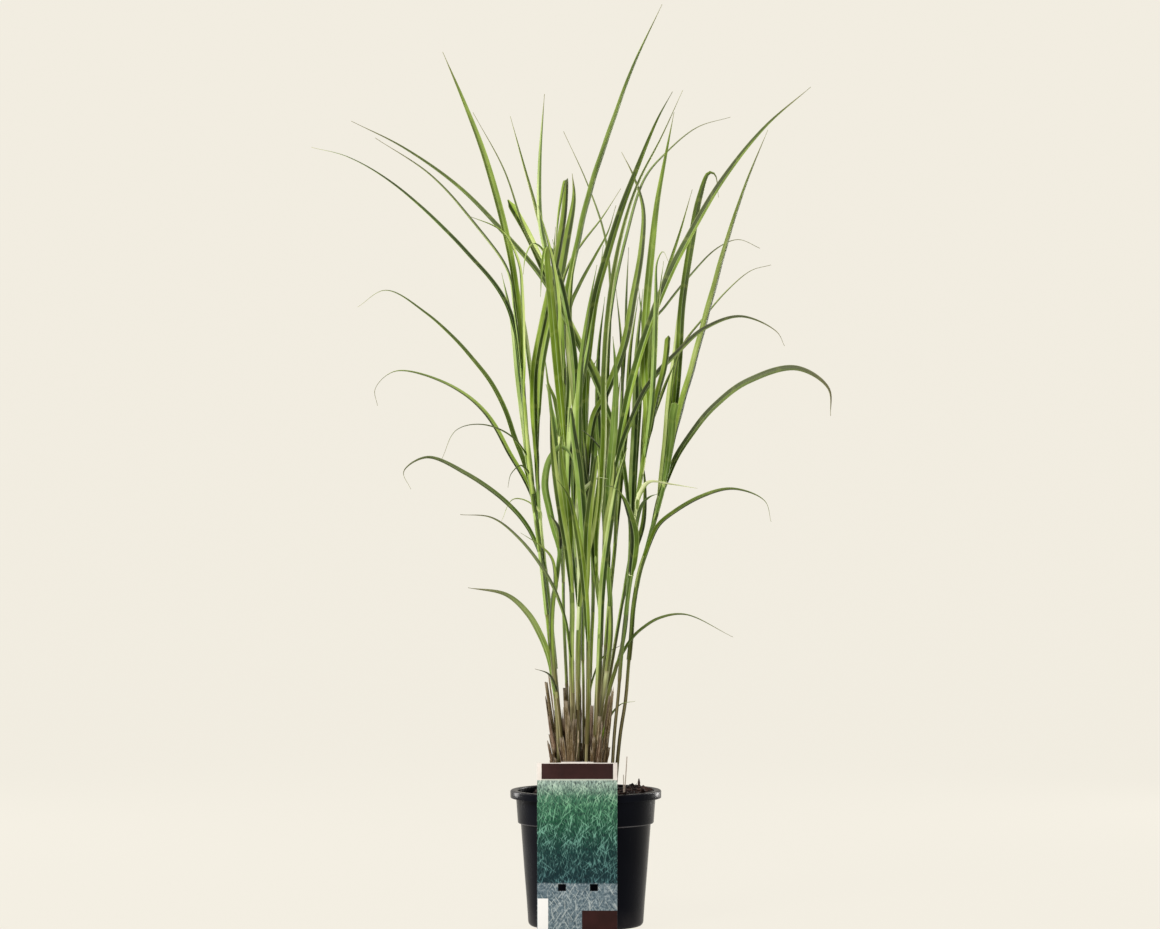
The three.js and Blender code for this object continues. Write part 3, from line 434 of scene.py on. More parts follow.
bark = Finish("damp_bark_and_peat", Specular_IOR_Level=0.15)
patches = bark.cloud(70, 5, rough=0.65)
grain = bark.cloud(420, 5, rough=0.7)
shade = bark.attribute("shade")
brown = bark.ramp(patches * 0.6 + grain * 0.4, (0.3, (0.004, 0.0024, 0.0023)),
                  (0.55, (0.012, 0.0066, 0.006)), (0.75, (0.034, 0.018, 0.0145)))
brown = bark.blend(bark.between(shade, 0.15, 1.0) * 0.8, brown,
                   bark.ramp(grain, (0.35, (0.022, 0.011, 0.0095)), (0.7, (0.095, 0.054, 0.042))))
brown = bark.blend(bark.between(grain, 0.66, 0.74) * 0.5, brown, (0.18, 0.12, 0.085))
bark.wear(mix, brown, 0.62 + patches * 0.3, grain * 0.7 + bark.cloud(150, 3) * 0.3, 0.0012)
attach(mix, "root")
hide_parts("soil")


# Label: one sheet of white plastic, printed on its face and folded over at the top. The narrower
# tongue behind goes down into the mix inside the rim. Two small holes are cut low in its face.
LABEL_HALF, LABEL_FOOT, LABEL_TOP, LABEL_FACE, TONGUE_HALF = 49.5, 3, 211, -95.8, 20
HOLES, HOLE_HALF_WIDE, HOLE_HALF_HIGH = [(-18.8, 57), (20.6, 57)], 4.9, 4.3
FOLD_AND_TONGUE = [(0, 1.2, 0.7), (0, 1.6, -0.6), (0, 16.1, -35.1), (0, 1.4, -6), (0, 0.1, -34)]
bpy.ops.object.select_all(action="DESELECT")
bpy.ops.mesh.primitive_plane_add(size=1)
label = bpy.context.object
label.data.transform(
    Matrix.Translation((LABEL_MIDDLE * MM, LABEL_FACE * MM, (LABEL_FOOT + LABEL_TOP) / 2 * MM))
    @ Matrix.Rotation(math.pi / 2, 4, "X")
    @ Matrix.Diagonal((2 * LABEL_HALF * MM, (LABEL_TOP - LABEL_FOOT) * MM, 1, 1)))
bpy.ops.object.mode_set(mode="EDIT")
cuts = [((LABEL_MIDDLE + side * TONGUE_HALF, 0, 0), (1, 0, 0)) for side in (-1, 1)]
for x, z in HOLES:
    cuts += [((LABEL_MIDDLE + x + side * HOLE_HALF_WIDE, 0, 0), (1, 0, 0)) for side in (-1, 1)]
    cuts += [((0, 0, z + side * HOLE_HALF_HIGH), (0, 0, 1)) for side in (-1, 1)]
for spot, way in cuts:
    bpy.ops.mesh.select_all(action="SELECT")
    bpy.ops.mesh.bisect(plane_co=Vector(spot) * MM, plane_no=way)


def choose(what, test):
    """Selects only the edges or faces of the piece in edit mode whose middle passes the test."""
    bpy.ops.mesh.select_mode(type=what)
    bpy.ops.mesh.select_all(action="DESELECT")
    shape = bmesh.from_edit_mesh(bpy.context.object.data)
    for part in shape.faces if what == "FACE" else shape.edges:
        middle = sum((corner.co for corner in part.verts), Vector()) / len(part.verts)
        if test(middle / MM):
            part.select_set(True)
    bmesh.update_edit_mesh(bpy.context.object.data)


choose("FACE", lambda spot: any(abs(spot.x - LABEL_MIDDLE - x) < HOLE_HALF_WIDE
                                and abs(spot.z - z) < HOLE_HALF_HIGH for x, z in HOLES))
bpy.ops.mesh.delete(type="FACE")
choose("EDGE", lambda spot: spot.z > LABEL_TOP - 0.1 and abs(spot.x - LABEL_MIDDLE) < TONGUE_HALF)
for step in FOLD_AND_TONGUE:
    bpy.ops.mesh.extrude_edges_move(TRANSFORM_OT_translate={"value": Vector(step) * MM})
bpy.ops.mesh.select_all(action="SELECT")
bpy.ops.mesh.normals_make_consistent(inside=False)
bpy.ops.object.mode_set(mode="OBJECT")
label.name = label.data.name = "plant_label"
finish_with(label, "SOLIDIFY", thickness=0.8 * MM, offset=0)
finish_with(label, "BEVEL", width=0.2 * MM, segments=2, limit_method="ANGLE", angle_limit=0.9)
rounded(label, 50)

print_ = Finish("printed_plastic_card", Specular_IOR_Level=0.12)
across, up = print_.axis("X") / MM, print_.axis("Z") / MM
face = print_.between(print_.axis("Y"), -95.9 * MM, -96.0 * MM)


def panel(left, right, low, high, soft=0.2):
    """1 inside this upright panel of the print, in mm."""
    inside = 1.0
    for way, first, last in [(across, left, right), (up, low, high)]:
        inside = inside * print_.between(way, first - soft, first + soft)
        inside = inside * print_.between(way, last + soft, last - soft)
    return inside


def blades_drawn(lean, size, seed, sharp):
    """Long pale strokes that lean this way, drawn as thin bands of stretched cloud."""
    turn = print_.node("Mapping", inputs={"Vector": print_.place(), "Rotation": (0, lean, 0)})
    drawn = print_.node("Mapping", inputs={"Vector": turn, "Location": (seed, 0, seed),
                                           "Scale": (1, 1, 0.09)})
    streaks = print_.cloud(size, 2, drawn, 0.55, 0.25)
    return print_.between(streaks, sharp, sharp + 0.07)


meadow = print_.ramp(up / LABEL_TOP, (0.27, (0.003, 0.017, 0.026)), (0.48, (0.004, 0.032, 0.030)),
                     (0.66, (0.011, 0.074, 0.036)), (0.80, (0.045, 0.15, 0.085)),
                     (0.90, (0.27, 0.36, 0.32)))
tufts = print_.cloud(75, 4, rough=0.6)
leafage = print_.cloud(520, 4, print_.place(1, 1, 0.45), 0.7)
meadow = print_.blend(print_.between(leafage, 0.62, 0.36) * 0.85, meadow, (0.002, 0.010, 0.013))
strokes = 0.0
for sort in [(0.34, 760, 3.1, 0.57), (-0.40, 700, 7.7, 0.57), (0.08, 820, 5.2, 0.58),
             (-0.85, 640, 1.4, 0.60), (0.95, 660, 9.6, 0.60), (-0.15, 420, 4.4, 0.63)]:
    strokes = strokes + blades_drawn(*sort) * 0.6
strokes = strokes * print_.between(tufts, 0.25, 0.6)
pale = print_.ramp(up / LABEL_TOP, (0.28, (0.08, 0.19, 0.21)), (0.55, (0.14, 0.32, 0.26)),
                   (0.75, (0.16, 0.38, 0.22)), (0.9, (0.46, 0.56, 0.48)))
meadow = print_.blend(print_.between(strokes, 0, 1.0) * 0.8, meadow, pale)
ground = print_.ramp(print_.cloud(330, 5, rough=0.75), (0.32, (0.020, 0.038, 0.055)),
                     (0.52, (0.090, 0.13, 0.155)), (0.72, (0.33, 0.38, 0.41)))
roots = (blades_drawn(0.55, 520, 2.2, 0.58) + blades_drawn(-0.6, 560, 8.8, 0.58)
         + blades_drawn(0.1, 480, 6.1, 0.6))
ground = print_.blend(print_.between(roots, 0, 1) * 0.55, ground, (0.38, 0.42, 0.42))
picture = print_.blend(print_.between(up + tufts * 4, 65.5, 62.5), meadow, ground)
card = print_.ramp(tufts, (0.3, (0.50, 0.46, 0.43)), (0.7, (0.60, 0.56, 0.53)))
header = print_.ramp(print_.cloud(50, 3), (0.3, (0.016, 0.0045, 0.004)), (0.7, (0.027, 0.0075, 0.007)))
face_print = print_.blend(panel(-60.2, 38.8, 3, 189.5, 0.05), card, picture)
for place, ink in [((-54.8, 33.6, 190.8, 210), header), ((-54.8, 33.6, 189.2, 190.6), (0.36, 0.40, 0.34)),
                   ((-59.6, -46.6, 5.5, 43.5), (0.66, 0.66, 0.66)), ((-4.8, 38.8, 3, 28.6), header)]:
    face_print = print_.blend(panel(*place), face_print, ink)
colour = print_.blend(face, card, face_print)
rub = print_.cloud(900, 3)
print_.wear(label, colour, 0.34 + rub * 0.14, rub * 0.5 + print_.cloud(30, 2) * 0.5, 0.00012)
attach(label, "root")
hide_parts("label")


# Tufts of old culms: last year's stems, cut off a hand's width above the mix. Each is a dry hollow
# tube with loose papery sheaths, split and frayed at their upper ends.
FOOT = 150

# Per tuft, in mm: its spot at the height FOOT, and the radius, lean in x and y, and top of each stub.
TUFTS = {
    "stubs_left": ((-27.5, 3), [
        (3, -0.145, -0.005, 306), (2.6, -0.09, 0, 270), (2.4, -0.2, 0.02, 240),
    ]),
    "stubs_left_small": ((-31, -21), [(2.5, -0.2, 0, 229), (2.1, -0.12, -0.02, 212)]),
    "stubs_centre": ((-19, -1), [
        (3.8, -0.05, 0, 298), (3.4, 0.02, -0.06, 288), (3, -0.03, 0.07, 256),
    ]),
    "stubs_back": ((-13.5, 11), [(3, 0.02, 0.06, 292), (2.6, 0.05, 0.12, 242)]),
    "stubs_middle": ((4, -8), [
        (3.4, 0.03, -0.01, 277), (3, -0.03, -0.06, 252), (2.8, 0.04, 0.05, 234),
    ]),
    "stubs_front": ((-19, -38), [
        (3.4, -0.04, -0.03, 284), (3, 0.05, -0.05, 262), (2.6, -0.14, 0, 238),
    ]),
    "stubs_front_right": ((9, -41), [
        (3.2, 0.07, -0.07, 266), (2.8, 0.01, -0.14, 240), (2.6, 0.14, -0.05, 226),
    ]),
    "stubs_right": ((14, -29), [
        (3.5, 0.12, 0.035, 290), (3, 0.05, 0, 254), (2.6, 0.2, 0, 226),
    ]),
}


def sheet_of(name, columns, rows):
    """A flat sheet of that many faces, 0 to 1 along and -1 to 1 across, to be laid in place."""
    bpy.ops.object.select_all(action="DESELECT")
    bpy.ops.mesh.primitive_grid_add(x_subdivisions=columns, y_subdivisions=rows, size=2)
    flat = bpy.context.object
    flat.name = name
    flat.data.transform(Matrix.Translation((0, 0.5, 0)) @ Matrix.Diagonal((1, 0.5, 1, 1)))
    return flat


def laid(flat, place, marks):
    """A copy of the flat sheet with place(along, across) in mm as its shape, and these marks."""
    piece = copy_of(flat)
    spots = [(corner.co.y, corner.co.x) for corner in piece.data.vertices]
    piece.data.vertices.foreach_set("co", np.array([place(*spot) for spot in spots]).ravel() * MM)
    for name, value in marks.items():
        mark(piece, name, [value(*spot) for spot in spots] if callable(value) else value)
    piece.data.update()
    return piece


def soft_step(value, low, high):
    """0 up to low, 1 from high on, smooth between."""
    share = min(1, max(0, (value - low) / (high - low)))
    return share * share * (3 - 2 * share)


tube_sheet = sheet_of("tube_sheet", 16, 26)
husk_sheet = sheet_of("husk_sheet", 10, 22)


def stub_tube(foot, radius, lean, top, seed):
    """One cut culm: a tube with a torn upper edge that leans and narrows as its solid does."""
    def place(along, across):
        angle = across * math.pi
        torn = 3.5 * noise.noise(Vector((math.cos(angle) * 2.2, math.sin(angle) * 2.2, seed)))
        rise = (top - 1 - FOOT) * along + torn * soft_step(along, 0.8, 1)
        share = rise / (top - FOOT)
        wide = radius * (0.98 - 0.33 * share) * (1 + 0.05 * math.sin(3 * angle + seed))
        wide += 0.5 * math.exp(-((rise - 55 - seed % 23) / 2.5) ** 2)
        return (foot[0] + lean[0] * rise + wide * math.cos(angle),
                foot[1] + lean[1] * rise + wide * math.sin(angle), FOOT + rise)
    return laid(tube_sheet, place, {
        "across": lambda along, across: across * 4, "along": lambda along, across: along,
        "shade": (seed * 0.37) % 1})


def husk(foot, radius, lean, top, turn, spread, seed):
    """One loose papery sheath round a cut culm, open on one side, its tip split into shreds."""
    def place(along, across):
        shreds = noise.noise(Vector((across * 3.2, seed, 0.5)))
        rise = 2 + (top - FOOT - 2) * along * (1 - 0.35 * along * (abs(across) ** 1.5 + shreds * 0.6))
        share = rise / (top - FOOT)
        closing = 1 - 0.35 * soft_step(along, 0.55, 1)
        angle = turn + across * spread * closing
        away = radius * (1.1 - 0.2 * share) + 0.5 + 6.5 * max(0, share - 0.4) ** 1.6 * (1 + shreds)
        return (foot[0] + lean[0] * rise + away * math.cos(angle),
                foot[1] + lean[1] * rise + away * math.sin(angle), FOOT + rise)
    return laid(husk_sheet, place, {
        "across": lambda along, across: across * 2.5, "along": lambda along, across: along,
        "shade": (seed * 0.61) % 1, "withered": 1.0})


straw_like = Finish("dry_split_culm", Specular_IOR_Level=0.1)
ribs = straw_like.attribute("across")
lengthwise = straw_like.node("CombineXYZ", inputs={
    0: ribs * 6, 1: straw_like.attribute("along") * 2.2, 2: straw_like.attribute("shade") * 40})
streaks = straw_like.cloud(1, 4, lengthwise, 0.65)
speckle = straw_like.cloud(260, 4, rough=0.7)
dry = straw_like.ramp(streaks * 0.8 + speckle * 0.2, (0.38, (0.014, 0.007, 0.003)),
                      (0.46, (0.056, 0.037, 0.013)), (0.54, (0.18, 0.135, 0.064)),
                      (0.63, (0.52, 0.43, 0.29)))
dry = straw_like.blend(straw_like.between(straw_like.attribute("shade"), 0.45, 0.9) * 0.55, dry,
                       straw_like.ramp(streaks, (0.38, (0.030, 0.013, 0.010)),
                                       (0.5, (0.125, 0.067, 0.049)), (0.62, (0.45, 0.30, 0.25))))
dry = straw_like.blend(straw_like.between(straw_like.axis("Z"), 0.245, 0.18) * 0.6, dry,
                       straw_like.ramp(streaks, (0.4, (0.045, 0.018, 0.009)), (0.6, (0.22, 0.12, 0.062))))
dry = straw_like.blend(straw_like.between(straw_like.attribute("along"), 0.9, 1.0) * 0.35, dry,
                       (0.50, 0.43, 0.34))
fine_ribs = (ribs * 20).sine()
for number, (name, (foot, stubs)) in enumerate(TUFTS.items()):
    parts = []
    for order, (radius, lean_x, lean_y, top) in enumerate(stubs):
        seed = 7.3 * number + 2.9 * order
        parts.append(stub_tube(foot, radius, (lean_x, lean_y), top, seed))
        for layer in range(4):
            parts.append(husk(foot, radius + 0.45 * layer, (lean_x, lean_y),
                              top + 2 - 17 * layer - (seed * 5) % 17, seed * 1.7 + 2.1 * layer,
                              1.35 - 0.15 * layer, seed + 0.7 * layer))
    tuft = joined("old_" + name, parts)
    finish_with(tuft, "SOLIDIFY", thickness=0.45 * MM, offset=-1, use_even_offset=False)
    rounded(tuft, 60)
    straw_like.wear(tuft, dry, 0.7 + speckle * 0.2, fine_ribs * 0.25 + streaks * 0.75, 0.0005)
    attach(tuft, "root")
    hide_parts(name)


# Straws: two thin dry stalks that stick up out of the mix beside the label, bleached and brittle.
# They are bare remains of old culms, and both stand in the mix at one spot.
straw_sheet = sheet_of("straw_sheet", 8, 18)
STRAW_FOOT, STRAWS = (46, -44), [(1.0, 0.08, -0.03, 215), (0.8, 0.02, 0.06, 192)]
straws = []
for radius, lean_x, lean_y, top in STRAWS:
    def stalk(along, across):
        rise = (top - FOOT) * along
        wide = radius * (1 - 0.5 * along) * (1 + 0.15 * math.sin(9 * along))
        bow = 0.5 * math.sin(3 * along)
        return (STRAW_FOOT[0] + lean_x * rise + bow + wide * math.cos(across * math.pi),
                STRAW_FOOT[1] + lean_y * rise + wide * math.sin(across * math.pi), FOOT + rise)
    straws.append(laid(straw_sheet, stalk, {"across": lambda along, across: across * 2,
                                            "along": lambda along, across: along * 0.8, "shade": 0.1}))
straw = joined("dry_straws", straws)
finish_with(straw, "SOLIDIFY", thickness=0.25 * MM, offset=-1)
rounded(straw, 60)
bleached = Finish("bleached_straw", Specular_IOR_Level=0.35)
fibre = bleached.cloud(300, 4, bleached.place(1, 1, 0.08), 0.6)
pale_straw = bleached.ramp(fibre, (0.3, (0.16, 0.13, 0.10)), (0.6, (0.34, 0.29, 0.24)),
                           (0.8, (0.52, 0.47, 0.40)))
bleached.wear(straw, pale_straw, 0.55 + fibre * 0.2, fibre, 0.0003)
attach(straw, "root")
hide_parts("straw")


# Leafy stems: eighteen green culms with clasping sheaths. Each sheath wraps the culm from a node up
# to its collar, where it opens into a long blade with a pale midrib. One plant part each: the grass
# grew them whole.

# Per stem, in mm: radius, depth at foot and top, tone, the culm's line in the picture plane as
# (x, z), and its blades as (collar height, width, tip depth, tone, dryness, line). A last value is
# the share of a broad blade's length where it starts to taper, or 1 for one that ends blunt.
STEMS = {
    "stem_left_outer": (3, (-4, -35), 0.6, [(-32, 150), (-36, 260), (-44, 340), (-53, 430), (-62, 505),
        (-71, 570), (-77, 650), (-81, 712)], [
        (520, 8, 70, 0.5, 0.1, [(-74, 600), (-85, 690), (-93, 760), (-106, 820)]),
        (655, 4.5, -70, 0.5, 0.2, [(-80, 790), (-85, 835), (-105, 872), (-150, 893)]),
        (290, 8, -57, 0.55, 0.6, [(-46, 332), (-58, 365), (-73, 391), (-100, 415), (-148, 424)]),
        (566, 2.4, -50, 0.4, 0.5, [(-82, 579), (-94, 568), (-98, 550)]),
        (588, 3.2, -70, 0.35, 0.7, [(-90, 612), (-130, 629), (-163, 622), (-181, 586)]),
        (684, 7.5, 90, 0.22, 0.2, [(-100, 780), (-150, 845), (-240, 930), (-300, 966), (-345, 978)]),
        (694, 3.6, -110, 0.4, 0.5, [(-90, 772), (-98, 822), (-140, 882), (-195, 943), (-265, 990)]),
        (703, 9, -30, 0.5, 0.3, [(-84, 760), (-97, 850), (-127, 965), (-152, 1032), (-180, 1098)]),
    ]),
    "stem_left_inner": (2.6, (10, 32), 0.5, [(-28, 150), (-33, 260), (-39, 330), (-46, 400), (-54, 470),
        (-59, 530), (-61, 590), (-59, 650)], [
        (545, 9, 40, 0.7, 0.1, [(-64, 600), (-69, 680), (-79, 760), (-94, 850)]),
        (450, 6, -90, 0.32, 0.5, [(-73, 499), (-100, 531), (-150, 567), (-200, 588), (-229, 570),
         (-220, 548)]),
        (474, 7.5, 150, 0.28, 0.4, [(-68, 540), (-95, 590), (-128, 645), (-175, 680), (-240, 696),
         (-265, 674), (-262, 653)]),
        (488, 8.5, 80, 0.34, 0.3, [(-67, 545), (-90, 612), (-112, 668), (-152, 722), (-200, 768),
         (-252, 798), (-287, 777)]),
        (520, 2.6, 0, 0.6, 0.4, [(-74, 534), (-92, 535), (-106, 508)]),
        (575, 9, -170, 0.36, 0.2, [(-65, 640), (-64, 700), (-52, 765), (-38, 830), (-27, 895), (-25, 937),
         (-33, 900), (-39, 840)], 0.55),
        (632, 9, 110, 0.42, 0.2, [(-56, 700), (-46, 755), (-34, 805), (-24, 862), (-15, 915),
         (-17, 945)], 0.72),
    ]),
    "stem_left_front": (3, (-16, -45), 0.6, [(-24, 150), (-33, 260), (-40, 320), (-43, 370), (-41, 410),
        (-36, 440), (-32, 490), (-31, 540), (-34, 650), (-38, 718)], [
        (296, 4.2, -70, 0.2, 0.6, [(-45, 314), (-64, 322)]),
        (470, 8.5, -75, 0.48, 0.2, [(-45, 520), (-51, 556), (-44, 588), (-31, 601), (-20, 592),
         (-10, 552)]),
        (430, 5, -80, 0.35, 0.3, [(-42, 459), (-57, 476), (-82, 493)]),
        (474, 8, -130, 0.3, 0.2, [(-35, 497), (-42, 511), (-47, 517)]),
        (615, 5, -90, 0.5, 0.2, [(-39, 660), (-46, 678), (-50, 692)]),
        (650, 6.5, 70, 0.55, 0.3, [(-42, 775), (-50, 845), (-61, 893), (-78, 955), (-95, 1017)]),
        (690, 6.5, -48, 0.6, 0.3, [(-41, 780), (-49, 835), (-58, 890), (-58, 960), (-52, 1045)]),
        (705, 5.5, -150, 0.62, 0.2, [(-44, 800), (-54, 848), (-66, 857), (-75, 843), (-79, 818)]),
    ]),
    "stem_tall": (2.4, (17, 22), 0.5, [(-20, 150), (-24, 300), (-28, 400), (-28, 480), (-27, 560),
        (-28, 620), (-27, 690), (-28, 742)], [
        (430, 7, 120, 0.5, 0.1, [(-31, 500), (-35, 570), (-44, 650), (-53, 725)]),
        (560, 7, 160, 0.5, 0.1, [(-24, 620), (-20, 690), (-24, 750), (-30, 810), (-42, 862)]),
        (680, 3, 60, 0.45, 0.6, [(-38, 790), (-52, 826), (-76, 872), (-103, 950), (-142, 1022)]),
        (700, 3.2, 110, 0.4, 0.3, [(-32, 790), (-20, 833), (-4, 858), (20, 889), (44, 926)]),
        (716, 10, 10, 0.46, 0.3, [(-27, 770), (-15, 830), (5, 918), (34, 1008), (60, 1080), (96, 1158)]),
    ]),
    "stem_bright": (3.9, (-20, -62), 0.62, [(-12, 150), (-17, 290), (-18, 350), (-17, 395), (-19, 450),
        (-20, 500), (-24, 560), (-28, 620), (-32, 680)], [
        (420, 9, -216, 0.45, 0.1, [(-23, 470), (-33, 530), (-41, 590), (-45, 650)]),
        (540, 8, -97, 0.45, 0.1, [(-20, 600), (-10, 660), (2, 720), (10, 775)]),
        (336, 4.5, -90, 0.35, 0.5, [(-24, 374), (-33, 405), (-48, 438), (-82, 484), (-118, 512),
         (-158, 516)]),
        (468, 9.5, -180, 0.42, 0.1, [(-24, 530), (-30, 575), (-32, 605), (-28, 618)]),
        (610, 10, -190, 0.42, 0.1, [(-36, 705), (-42, 770), (-47, 822), (-50, 852), (-54, 835),
         (-57, 790)]),
        (655, 7, -125, 0.5, 0.2, [(-35, 730), (-35, 780), (-42, 835), (-60, 905)]),
    ]),
    "stem_centre": (3.2, (-6, -6), 0.25, [(-6, 150), (-10, 290), (-10, 350), (-8, 400), (-8, 450),
        (-11, 500), (-9, 560), (-11, 620), (-13, 690)], [
        (400, 8, -160, 0.6, 0.1, [(-2, 450), (8, 500), (14, 540), (17, 580)]),
        (600, 8, 9, 0.5, 0.1, [(-15, 670), (-21, 740), (-19, 800), (-12, 850)]),
        (500, 8, -120, 0.92, 0.2, [(-5, 541), (5, 554), (16, 562), (28, 561)]),
        (545, 8, -40, 0.3, 0.05, [(-13, 590), (-12, 630), (-8, 656)], 1),
        (640, 4.5, 90, 0.4, 0.3, [(-18, 740), (-20, 775), (-8, 805), (12, 842), (28, 872), (38, 905)]),
        (655, 9, -60, 0.35, 0.05, [(-16, 720), (-24, 770), (-33, 810), (-47, 855)], 1),
    ]),
    "stem_pale": (2.4, (23, 50), 0.45, [(-3, 150), (-3, 300), (-4, 355), (-2, 420), (1, 480), (3, 540),
        (0, 600), (-2, 660)], [
        (460, 8, 170, 0.4, 0.1, [(4, 520), (10, 580), (12, 640), (20, 690)]),
        (560, 9, 190, 0.35, 0.1, [(-2, 620), (0, 660), (4, 690), (14, 712)]),
        (600, 10, -50, 0.33, 0.15, [(1, 690), (6, 740), (13, 790), (28, 845), (45, 900), (62, 945),
         (90, 1013), (109, 1048)]),
    ]),
    "stem_dark": (2.6, (8, 14), 0.1, [(2, 150), (5, 300), (7, 355), (9, 400), (9, 440), (6, 500),
        (2, 560), (0, 606)], [
        (440, 8, 114, 0.4, 0.1, [(12, 490), (20, 550), (34, 620), (44, 690)]),
        (296, 3, -21, 0.5, 0.3, [(15, 326), (26, 341), (45, 352)]),
        (560, 9, 80, 0.34, 0.3, [(10, 637), (24, 665), (48, 728), (60, 790), (70, 850), (72, 902),
         (60, 942), (45, 972)]),
        (500, 8, -64, 0.3, 0.1, [(2, 540), (-5, 580), (-7, 620), (-3, 660)]),
    ]),
    "stem_sheath": (3.4, (-23, -36), 0.5, [(9, 150), (14, 280), (17, 350), (18, 395), (14, 430),
        (12, 470)], [
        (370, 8, -170, 0.5, 0.1, [(22, 440), (30, 500), (40, 560), (52, 600)]),
        (400, 9.5, -32, 0.36, 0.1, [(7, 470), (3, 520), (-2, 560), (-4, 590)]),
        (436, 10, -60, 0.6, 0.3, [(15, 495), (20, 545), (24, 620), (24, 690), (31, 785), (45, 865),
         (66, 932), (95, 990), (122, 1050)]),
    ]),
    "stem_middle_right": (2.8, (6, 34), 0.2, [(11, 150), (20, 290), (25, 350), (29, 400), (33, 440),
        (37, 480), (38, 530), (40, 590), (45, 650), (47, 700)], [
        (480, 7, 140, 0.4, 0.1, [(44, 560), (52, 640), (56, 720), (66, 790)]),
        (540, 7, 135, 0.35, 0.2, [(34, 600), (27, 640), (22, 676), (12, 700)]),
        (620, 3.6, 120, 0.4, 0.3, [(46, 690), (44, 740), (38, 800)]),
        (670, 3.2, 74, 0.35, 0.5, [(50, 740), (51, 790), (54, 852)]),
    ]),
    "stem_broad": (3.7, (-13, -46), 0.66, [(12, 150), (17, 250), (22, 290), (27, 325), (31, 360),
        (31, 400), (28, 450), (27, 490), (29, 530), (34, 565), (41, 597)], [
        (505, 9, -140, 0.5, 0.1, [(30, 560), (36, 630), (38, 690), (34, 740)]),
        (450, 9, -150, 0.5, 0.1, [(27, 500), (33, 540), (36, 575), (34, 590)]),
        (555, 8, -110, 0.28, 0.4, [(46, 603), (61, 642), (80, 680), (110, 714), (150, 750), (195, 765),
         (240, 746), (250, 728)]),
        (575, 11, 40, 0.33, 0.3, [(50, 645), (62, 695), (80, 752), (105, 815), (132, 868), (172, 936),
         (225, 1003), (283, 1054)]),
    ]),
    "stem_back_right": (2.4, (18, 46), 0.2, [(14, 150), (18, 290), (20, 370), (22, 430), (24, 500),
        (24, 560), (24, 640)], [
        (480, 7, 200, 0.35, 0.1, [(21, 560), (15, 640), (16, 720), (24, 790)]),
        (560, 3, -97, 0.3, 0.5, [(20, 594), (8, 611), (-8, 624), (-25, 628)]),
        (572, 9.5, 120, 0.45, 0.05, [(20, 670), (-4, 722), (-27, 768), (-48, 812), (-72, 866),
         (-98, 912)], 1),
        (600, 3, 160, 0.4, 0.5, [(29, 720), (31, 800), (24, 866), (2, 932), (-28, 998)]),
        (615, 5, 97, 0.36, 0.5, [(26, 700), (34, 785), (50, 860), (74, 938), (100, 970), (140, 1003),
         (182, 1016)]),
    ]),
    "stem_crossing": (3.1, (-1, 22), 0.08, [(16, 150), (19, 240), (24, 268), (30, 297), (43, 340),
        (49, 370), (52, 400), (54, 440), (56, 480), (55, 520), (51, 552)], [
        (232, 5, -25, 0.15, 0.2, [(28, 257), (35, 268), (46, 278), (62, 281)]),
        (480, 8, 130, 0.45, 0.1, [(58, 560), (62, 640), (64, 720), (72, 800)]),
        (330, 5, -80, 0.35, 0.5, [(55, 356), (72, 373), (92, 385), (125, 390), (185, 362)]),
        (500, 9, -3, 0.34, 0.3, [(42, 600), (25, 650), (-8, 725), (-52, 808), (-100, 866), (-160, 928),
         (-230, 978), (-295, 1011)]),
    ]),
    "stem_right_front": (2.7, (-8, -56), 0.18, [(31, 150), (36, 240), (41, 290), (44, 330), (48, 370),
        (54, 420), (60, 460), (63, 500), (66, 540), (72, 580), (80, 620), (84, 655)], [
        (440, 11, -170, 0.12, 0.1, [(61, 486), (56, 512), (47, 536), (35, 550), (22, 552)]),
        (580, 8, -66, 0.66, 0.1, [(84, 670), (88, 720), (91, 775), (98, 835)]),
        (490, 4.5, -110, 0.4, 0.2, [(70, 527), (80, 538), (90, 542)]),
        (536, 7.5, -120, 0.85, 0.3, [(78, 556), (105, 554), (140, 549)]),
        (570, 9, 54, 0.46, 0.2, [(77, 640), (74, 700), (76, 770), (83, 850), (90, 910), (100, 965),
         (111, 1022)]),
        (590, 6, -170, 0.5, 0.2, [(83, 660), (86, 720), (88, 790), (90, 835), (97, 847), (104, 834)]),
        (610, 8, -100, 0.35, 0.05, [(90, 665), (100, 705), (104, 741)], 1),
        (622, 4, 60, 0.5, 0.2, [(93, 660), (102, 684), (114, 711)]),
    ]),
    "stem_right_outer": (3, (5, 8), 0.12, [(35, 150), (43, 237), (50, 283), (54, 330), (57, 360),
        (60, 400), (68, 445), (76, 470), (84, 500), (98, 552), (105, 590)], [
        (520, 8, 120, 0.5, 0.1, [(100, 600), (105, 660), (112, 720), (118, 790)]),
        (462, 7, -90, 0.2, 0.4, [(91, 501), (112, 519), (145, 538), (185, 548), (225, 533), (233, 507)]),
        (474, 8, 60, 0.26, 0.5, [(95, 540), (112, 583), (135, 620), (165, 655), (205, 684), (265, 700),
         (305, 675), (308, 640)], 0.7),
        (560, 8.5, -60, 0.5, 0.05, [(107, 610), (109, 638), (113, 657)], 1),
        (566, 12, -20, 0.36, 0.4, [(113, 620), (122, 655), (135, 700), (158, 785), (180, 865), (203, 935),
         (229, 1000)]),
        (574, 8.5, 130, 0.3, 0.2, [(112, 650), (117, 710), (121, 780), (132, 855), (143, 915), (155, 946),
         (162, 944), (167, 915)], 0.72),
        (580, 3, 50, 0.4, 0.5, [(110, 680), (122, 728), (148, 763), (178, 798), (208, 823), (233, 830)]),
    ]),
    "stem_far_right": (2.4, (27, 90), 0.12, [(17, 150), (27, 290), (38, 360), (50, 430), (60, 490),
        (67, 540), (72, 590)], [
        (470, 7, 220, 0.4, 0.1, [(61, 560), (67, 650), (72, 740), (66, 805)]),
